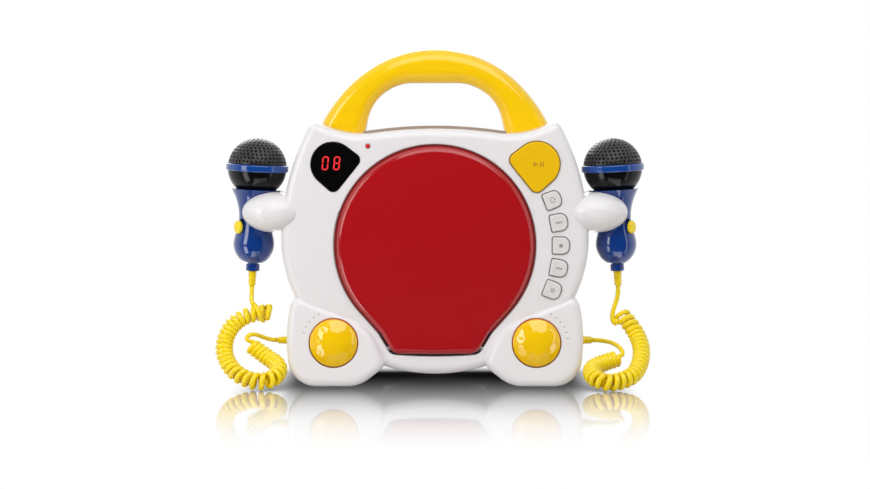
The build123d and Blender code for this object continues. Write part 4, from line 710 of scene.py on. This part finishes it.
# ---- Icons on the keys and the play button ----
ARROW = 2.0
LINE = 0.5
KEY_ICONS = {
    "repeat": arc_band(1.7, LINE, 40, 320) + [triangle(1.9, 1.5)],
    "skip_forward": [triangle(-1.2, ARROW), triangle(0.7, ARROW), bar(2.0, 0, LINE, ARROW)],
    "stop": [bar(0, 0, 2.4, 2.4)],
    "skip_back": [triangle(1.2, ARROW, -1), triangle(-0.7, ARROW, -1), bar(-2.0, 0, LINE, ARROW)],
    "mode": [bar(0, 1.0, 3.2, LINE), bar(0, 0, 3.2, LINE), bar(0, -1.0, 3.2, LINE)],
}
PLAY_ARROW = 3.4
PLAY_LINE = 0.9
PLAY_ICON = [
    triangle(-1.9, PLAY_ARROW), bar(1.5, 0, PLAY_LINE, PLAY_ARROW), bar(3.2, 0, PLAY_LINE, PLAY_ARROW),
]
PLAY_ICON_SHIFT = 1.0


def key_icons():
    for key, angle in KEY_ANGLES.items():
        turn = math.radians(angle)
        x, z = KEY_RING_R * math.cos(turn), LID_Z + KEY_RING_R * math.sin(turn)
        place = on_front(x, KEY_FACE_Y, z, angle)
        flat_print(f"{key}_icon", KEY_ICONS[key], place, key, "white_key_plastic", "grey_print")
    place = on_front(PANE_AT[0] + PLAY_ICON_SHIFT, KEY_FACE_Y, PANE_AT[1])
    flat_print("play_icon", PLAY_ICON, place, "play", "yellow_key_plastic", "gold_print")


key_icons()


# ---- Seven-segment figures in the window ----
DIGIT = (3.6, 8.6)
SEGMENT = 0.95
SEGMENT_GAP = 0.7
SLANT = 0.1
# Each segment's place, in widths and half heights from the figure's middle, and whether it lies flat.
SEGMENTS = {
    "a": (0, 1, True), "b": (0.5, 0.5, False), "c": (0.5, -0.5, False), "d": (0, -1, True),
    "e": (-0.5, -0.5, False), "f": (-0.5, 0.5, False), "g": (0, 0, True),
}
FIGURES = {"0": "abcdef", "8": "abcdefg"}
# Which figure stands at which x.
DISPLAY = {-76.6: "0", -68.6: "8"}
DISPLAY_Z = 158.0


def segment_outline(kind):
    """One segment's corners, leaning as the figures do."""
    across, level, flat = SEGMENTS[kind]
    wide, tall = DIGIT
    size = (wide - SEGMENT_GAP, SEGMENT) if flat else (SEGMENT, tall / 2 - SEGMENT_GAP)
    return [(x + SLANT * z, z) for x, z in bar(across * wide, level * tall / 2, *size)]


def display_figures():
    for x, figure in DISPLAY.items():
        shapes = [segment_outline(kind) for kind in FIGURES[figure]]
        flat_print(f"figure_{figure}", shapes, on_front(x, PANE_FACE_Y, DISPLAY_Z), "case", "red_digits")


display_figures()


# ---- Ticks round the knobs ----
TICK = (2.2, 0.5)
TICK_R = 22.0
TICK_ANGLES = {"left": [117, 128, 139, 150, 161], "right": [8, 19, 30, 41, 52, 63]}
# A tick's back lies this deep in the case's face, so that no gap shows.
TICK_SINK = 0.02


def lobe_face(z):
    """Depth of a lower corner's leaning face at a height."""
    return LOBE_TOP[0] - (LOBE_TOP[1] - z) * math.tan(math.radians(LOBE_LEAN))


def knob_ticks():
    for name, angles in TICK_ANGLES.items():
        for number, angle in enumerate(angles):
            turn = math.radians(angle)
            x = SIDES[name] * KNOB_AT[0] + TICK_R * math.cos(turn)
            z = KNOB_AT[1] + TICK_R * math.sin(turn)
            place = on_front(x, lobe_face(z) + TICK_SINK, z, angle, -LOBE_LEAN)
            outline = bar(0, 0, *TICK)
            flat_print(f"tick_{name}_{number}", [outline], place, "case", "white_plastic", "grey_print")


knob_ticks()


# ---- Floor, in metres: how far it reaches, and where its mirror fades to white ----
FLOOR_REACH = 6.0
FLOOR_FRONT = 0.45
FLOOR_GREY = 0.8
FLOOR_ROUGHNESS = 0.5
MIRROR_ROUGHNESS = 0.05
MIRROR_FADE = (-0.02, 0.30)
MIRROR_BACK = (0.03, 0.07)
MIRROR_SIDE = (0.16, 0.22)
MIRROR_CORNER_BACK = (-0.04, 0.02)
MIRROR_CORNER_SIDE = (0.105, 0.135)
# Painted contact shadow: the mirror is darker where something stands close over it, by ambient occlusion,
# but not out at the cords.
CONTACT_REACH = 0.04
CONTACT_SAMPLES = 8
CONTACT_POWER = 1.2
CONTACT_SIDE = (0.108, 0.145)
# A painted shadow: the mirror is darkest in a pool in front of the case.
POOL_SIDE = (0.096, 0.112)
POOL_FRONT = (0.02, 0.22)
POOL_DEPTH = 0.85


def math_node(nodes, links, operation, first, second=None):
    """The output of a Math node, with a number or a link on each input."""
    node = nodes.new("ShaderNodeMath")
    node.operation = operation
    for socket, value in zip(node.inputs, (first, second)):
        if isinstance(value, (int, float)):
            socket.default_value = value
        elif value is not None:
            links.new(value, socket)
    return node.outputs[0]


def ramp_of(nodes, links, source, low, high, start=0.0, end=1.0):
    """A soft step of a number, between two values."""
    step = nodes.new("ShaderNodeMapRange")
    step.interpolation_type = "SMOOTHSTEP"
    step.inputs["From Min"].default_value = low
    step.inputs["From Max"].default_value = high
    step.inputs["To Min"].default_value = start
    step.inputs["To Max"].default_value = end
    links.new(source, step.inputs["Value"])
    return step.outputs["Result"]


def mixed(nodes, links, share, first, second):
    """Two shaders, with this share of the second."""
    mix = nodes.new("ShaderNodeMixShader")
    links.new(share, mix.inputs["Fac"])
    links.new(first, mix.inputs[1])
    links.new(second, mix.inputs[2])
    return mix.outputs["Shader"]


def seen_ray(nodes, links, gloss=True):
    """1 for a ray that shows the background itself: the camera's, one through glass, or one in gloss."""
    ray = nodes.new("ShaderNodeLightPath")
    through = ray.outputs["Is Transmission Ray"]
    shown = math_node(nodes, links, "MAXIMUM", ray.outputs["Is Camera Ray"], through)
    return math_node(nodes, links, "MAXIMUM", shown, ray.outputs["Is Glossy Ray"]) if gloss else shown


def floor_material():
    """A pale floor, seen as a mirror with a painted shadow at the object, which fades to white all round
    it.
    """
    material = bpy.data.materials.new("floor")
    material.use_nodes = True
    nodes, links = material.node_tree.nodes, material.node_tree.links
    plain = nodes["Principled BSDF"]
    plain.inputs["Base Color"].default_value = (FLOOR_GREY, FLOOR_GREY, FLOOR_GREY, 1)
    plain.inputs["Roughness"].default_value = FLOOR_ROUGHNESS
    near = nodes.new("ShaderNodeAmbientOcclusion")
    near.inputs["Distance"].default_value = CONTACT_REACH
    near.samples = CONTACT_SAMPLES
    place = nodes.new("ShaderNodeNewGeometry")
    split = nodes.new("ShaderNodeSeparateXYZ")
    links.new(place.outputs["Position"], split.inputs["Vector"])
    back = split.outputs["Y"]
    forward = math_node(nodes, links, "MULTIPLY", back, -1.0)
    aside = math_node(nodes, links, "ABSOLUTE", split.outputs["X"])
    # Painted shadow in the mirror's colour: a dark pool in front of the case, times the contact shade.
    painted_shadow = math_node(nodes, links, "MULTIPLY", ramp_of(nodes, links, aside, *POOL_SIDE, 1.0, 0.0),
                     ramp_of(nodes, links, forward, *POOL_FRONT, POOL_DEPTH, 0.0))
    lit = math_node(nodes, links, "SUBTRACT", 1.0, painted_shadow)
    contact = math_node(nodes, links, "POWER", near.outputs["AO"], CONTACT_POWER)
    contact = math_node(nodes, links, "MAXIMUM", contact, ramp_of(nodes, links, aside, *CONTACT_SIDE))
    dim = math_node(nodes, links, "MULTIPLY", lit, contact)
    mirror = nodes.new("ShaderNodeBsdfAnisotropic")
    mirror.inputs["Roughness"].default_value = MIRROR_ROUGHNESS
    links.new(dim, mirror.inputs["Color"])
    white = nodes.new("ShaderNodeEmission")
    white.inputs["Strength"].default_value = 1.0
    fade = ramp_of(nodes, links, forward, *MIRROR_FADE)
    fade = math_node(nodes, links, "MAXIMUM", fade, ramp_of(nodes, links, back, *MIRROR_BACK))
    fade = math_node(nodes, links, "MAXIMUM", fade, ramp_of(nodes, links, aside, *MIRROR_SIDE))
    corner = math_node(nodes, links, "MULTIPLY", ramp_of(nodes, links, back, *MIRROR_CORNER_BACK),
                       ramp_of(nodes, links, aside, *MIRROR_CORNER_SIDE))
    fade = math_node(nodes, links, "MAXIMUM", fade, corner)
    fade = math_node(nodes, links, "MULTIPLY", fade, seen_ray(nodes, links, False))
    seen = mixed(nodes, links, fade, mirror.outputs["BSDF"], white.outputs["Emission"])
    both = mixed(nodes, links, seen_ray(nodes, links), plain.outputs["BSDF"], seen)
    links.new(both, nodes["Material Output"].inputs["Surface"])
    return material


def make_floor():
    """One plane, which ends in front so that the glossy lid shows the dark room there."""
    mesh = bpy.data.meshes.new("floor")
    left, right, front, back = -FLOOR_REACH, FLOOR_REACH, -FLOOR_FRONT, FLOOR_REACH
    corners = [(left, front, 0), (right, front, 0), (right, back, 0), (left, back, 0)]
    mesh.from_pydata(corners, [], [(0, 1, 2, 3)])
    floor = bpy.data.objects.new("floor", mesh)
    bpy.context.collection.objects.link(floor)
    floor.data.materials.append(floor_material())


# ---- World and lamps ----
WORLD_FILL = 0.34
FRONT_GLOSS = 0.04
# A reflection that heads forward meets a dark room, and one that heads back meets a white one.
# The Y of its direction runs from -1 to 1, and the room brightens between these two values of it.
GLOSS_SWEEP = (-0.65, 0.05)


def make_world():
    """A soft even light, white to the camera. In gloss the room is dark in front and white behind."""
    world = bpy.data.worlds.new("studio")
    bpy.context.scene.world = world
    world.use_nodes = True
    nodes, links = world.node_tree.nodes, world.node_tree.links
    shade = nodes["Background"]
    shade.inputs["Color"].default_value = (1, 1, 1, 1)
    ray = nodes.new("ShaderNodeLightPath")
    direction = nodes.new("ShaderNodeTexCoord")
    split = nodes.new("ShaderNodeSeparateXYZ")
    links.new(direction.outputs["Generated"], split.inputs["Vector"])
    sweep = ramp_of(nodes, links, split.outputs["Y"], *GLOSS_SWEEP, FRONT_GLOSS, 1.0)
    above_fill = math_node(nodes, links, "SUBTRACT", sweep, WORLD_FILL)
    gloss = math_node(nodes, links, "MULTIPLY", ray.outputs["Is Glossy Ray"], above_fill)
    fill = math_node(nodes, links, "ADD", gloss, WORLD_FILL)
    level = math_node(nodes, links, "MAXIMUM", fill, seen_ray(nodes, links, False))
    links.new(level, shade.inputs["Strength"])


# Each lamp's place, the point that it faces, its width and height in metres, and its power in watts.
LAMPS = {
    "key": ((-0.78, -0.68, 0.42), (0, 0, 0.1), (0.34, 0.66), 3.5),
    "fill": ((0.9, -0.5, 0.32), (0, 0, 0.1), (0.1, 0.6), 0.5),
    "top": ((0.13, -0.58, 0.84), (0, 0, 0.08), (0.95, 0.7), 5.0),
    "back": ((-0.25, 1.1, 0.75), (0, 0, 0.1), (0.9, 0.6), 5.0),
}


def make_lamps():
    for name, (place, target, size, power) in LAMPS.items():
        lamp = bpy.data.objects.new(name, bpy.data.lights.new(name, "AREA"))
        bpy.context.scene.collection.objects.link(lamp)
        lamp.data.shape = "RECTANGLE"
        lamp.data.size, lamp.data.size_y = size
        lamp.data.energy = power
        lamp.location = place
        lamp.rotation_euler = (Vector(target) - Vector(place)).to_track_quat("-Z", "Y").to_euler()


make_floor()
make_world()
make_lamps()

bpy.context.scene.view_settings.view_transform = "Standard"
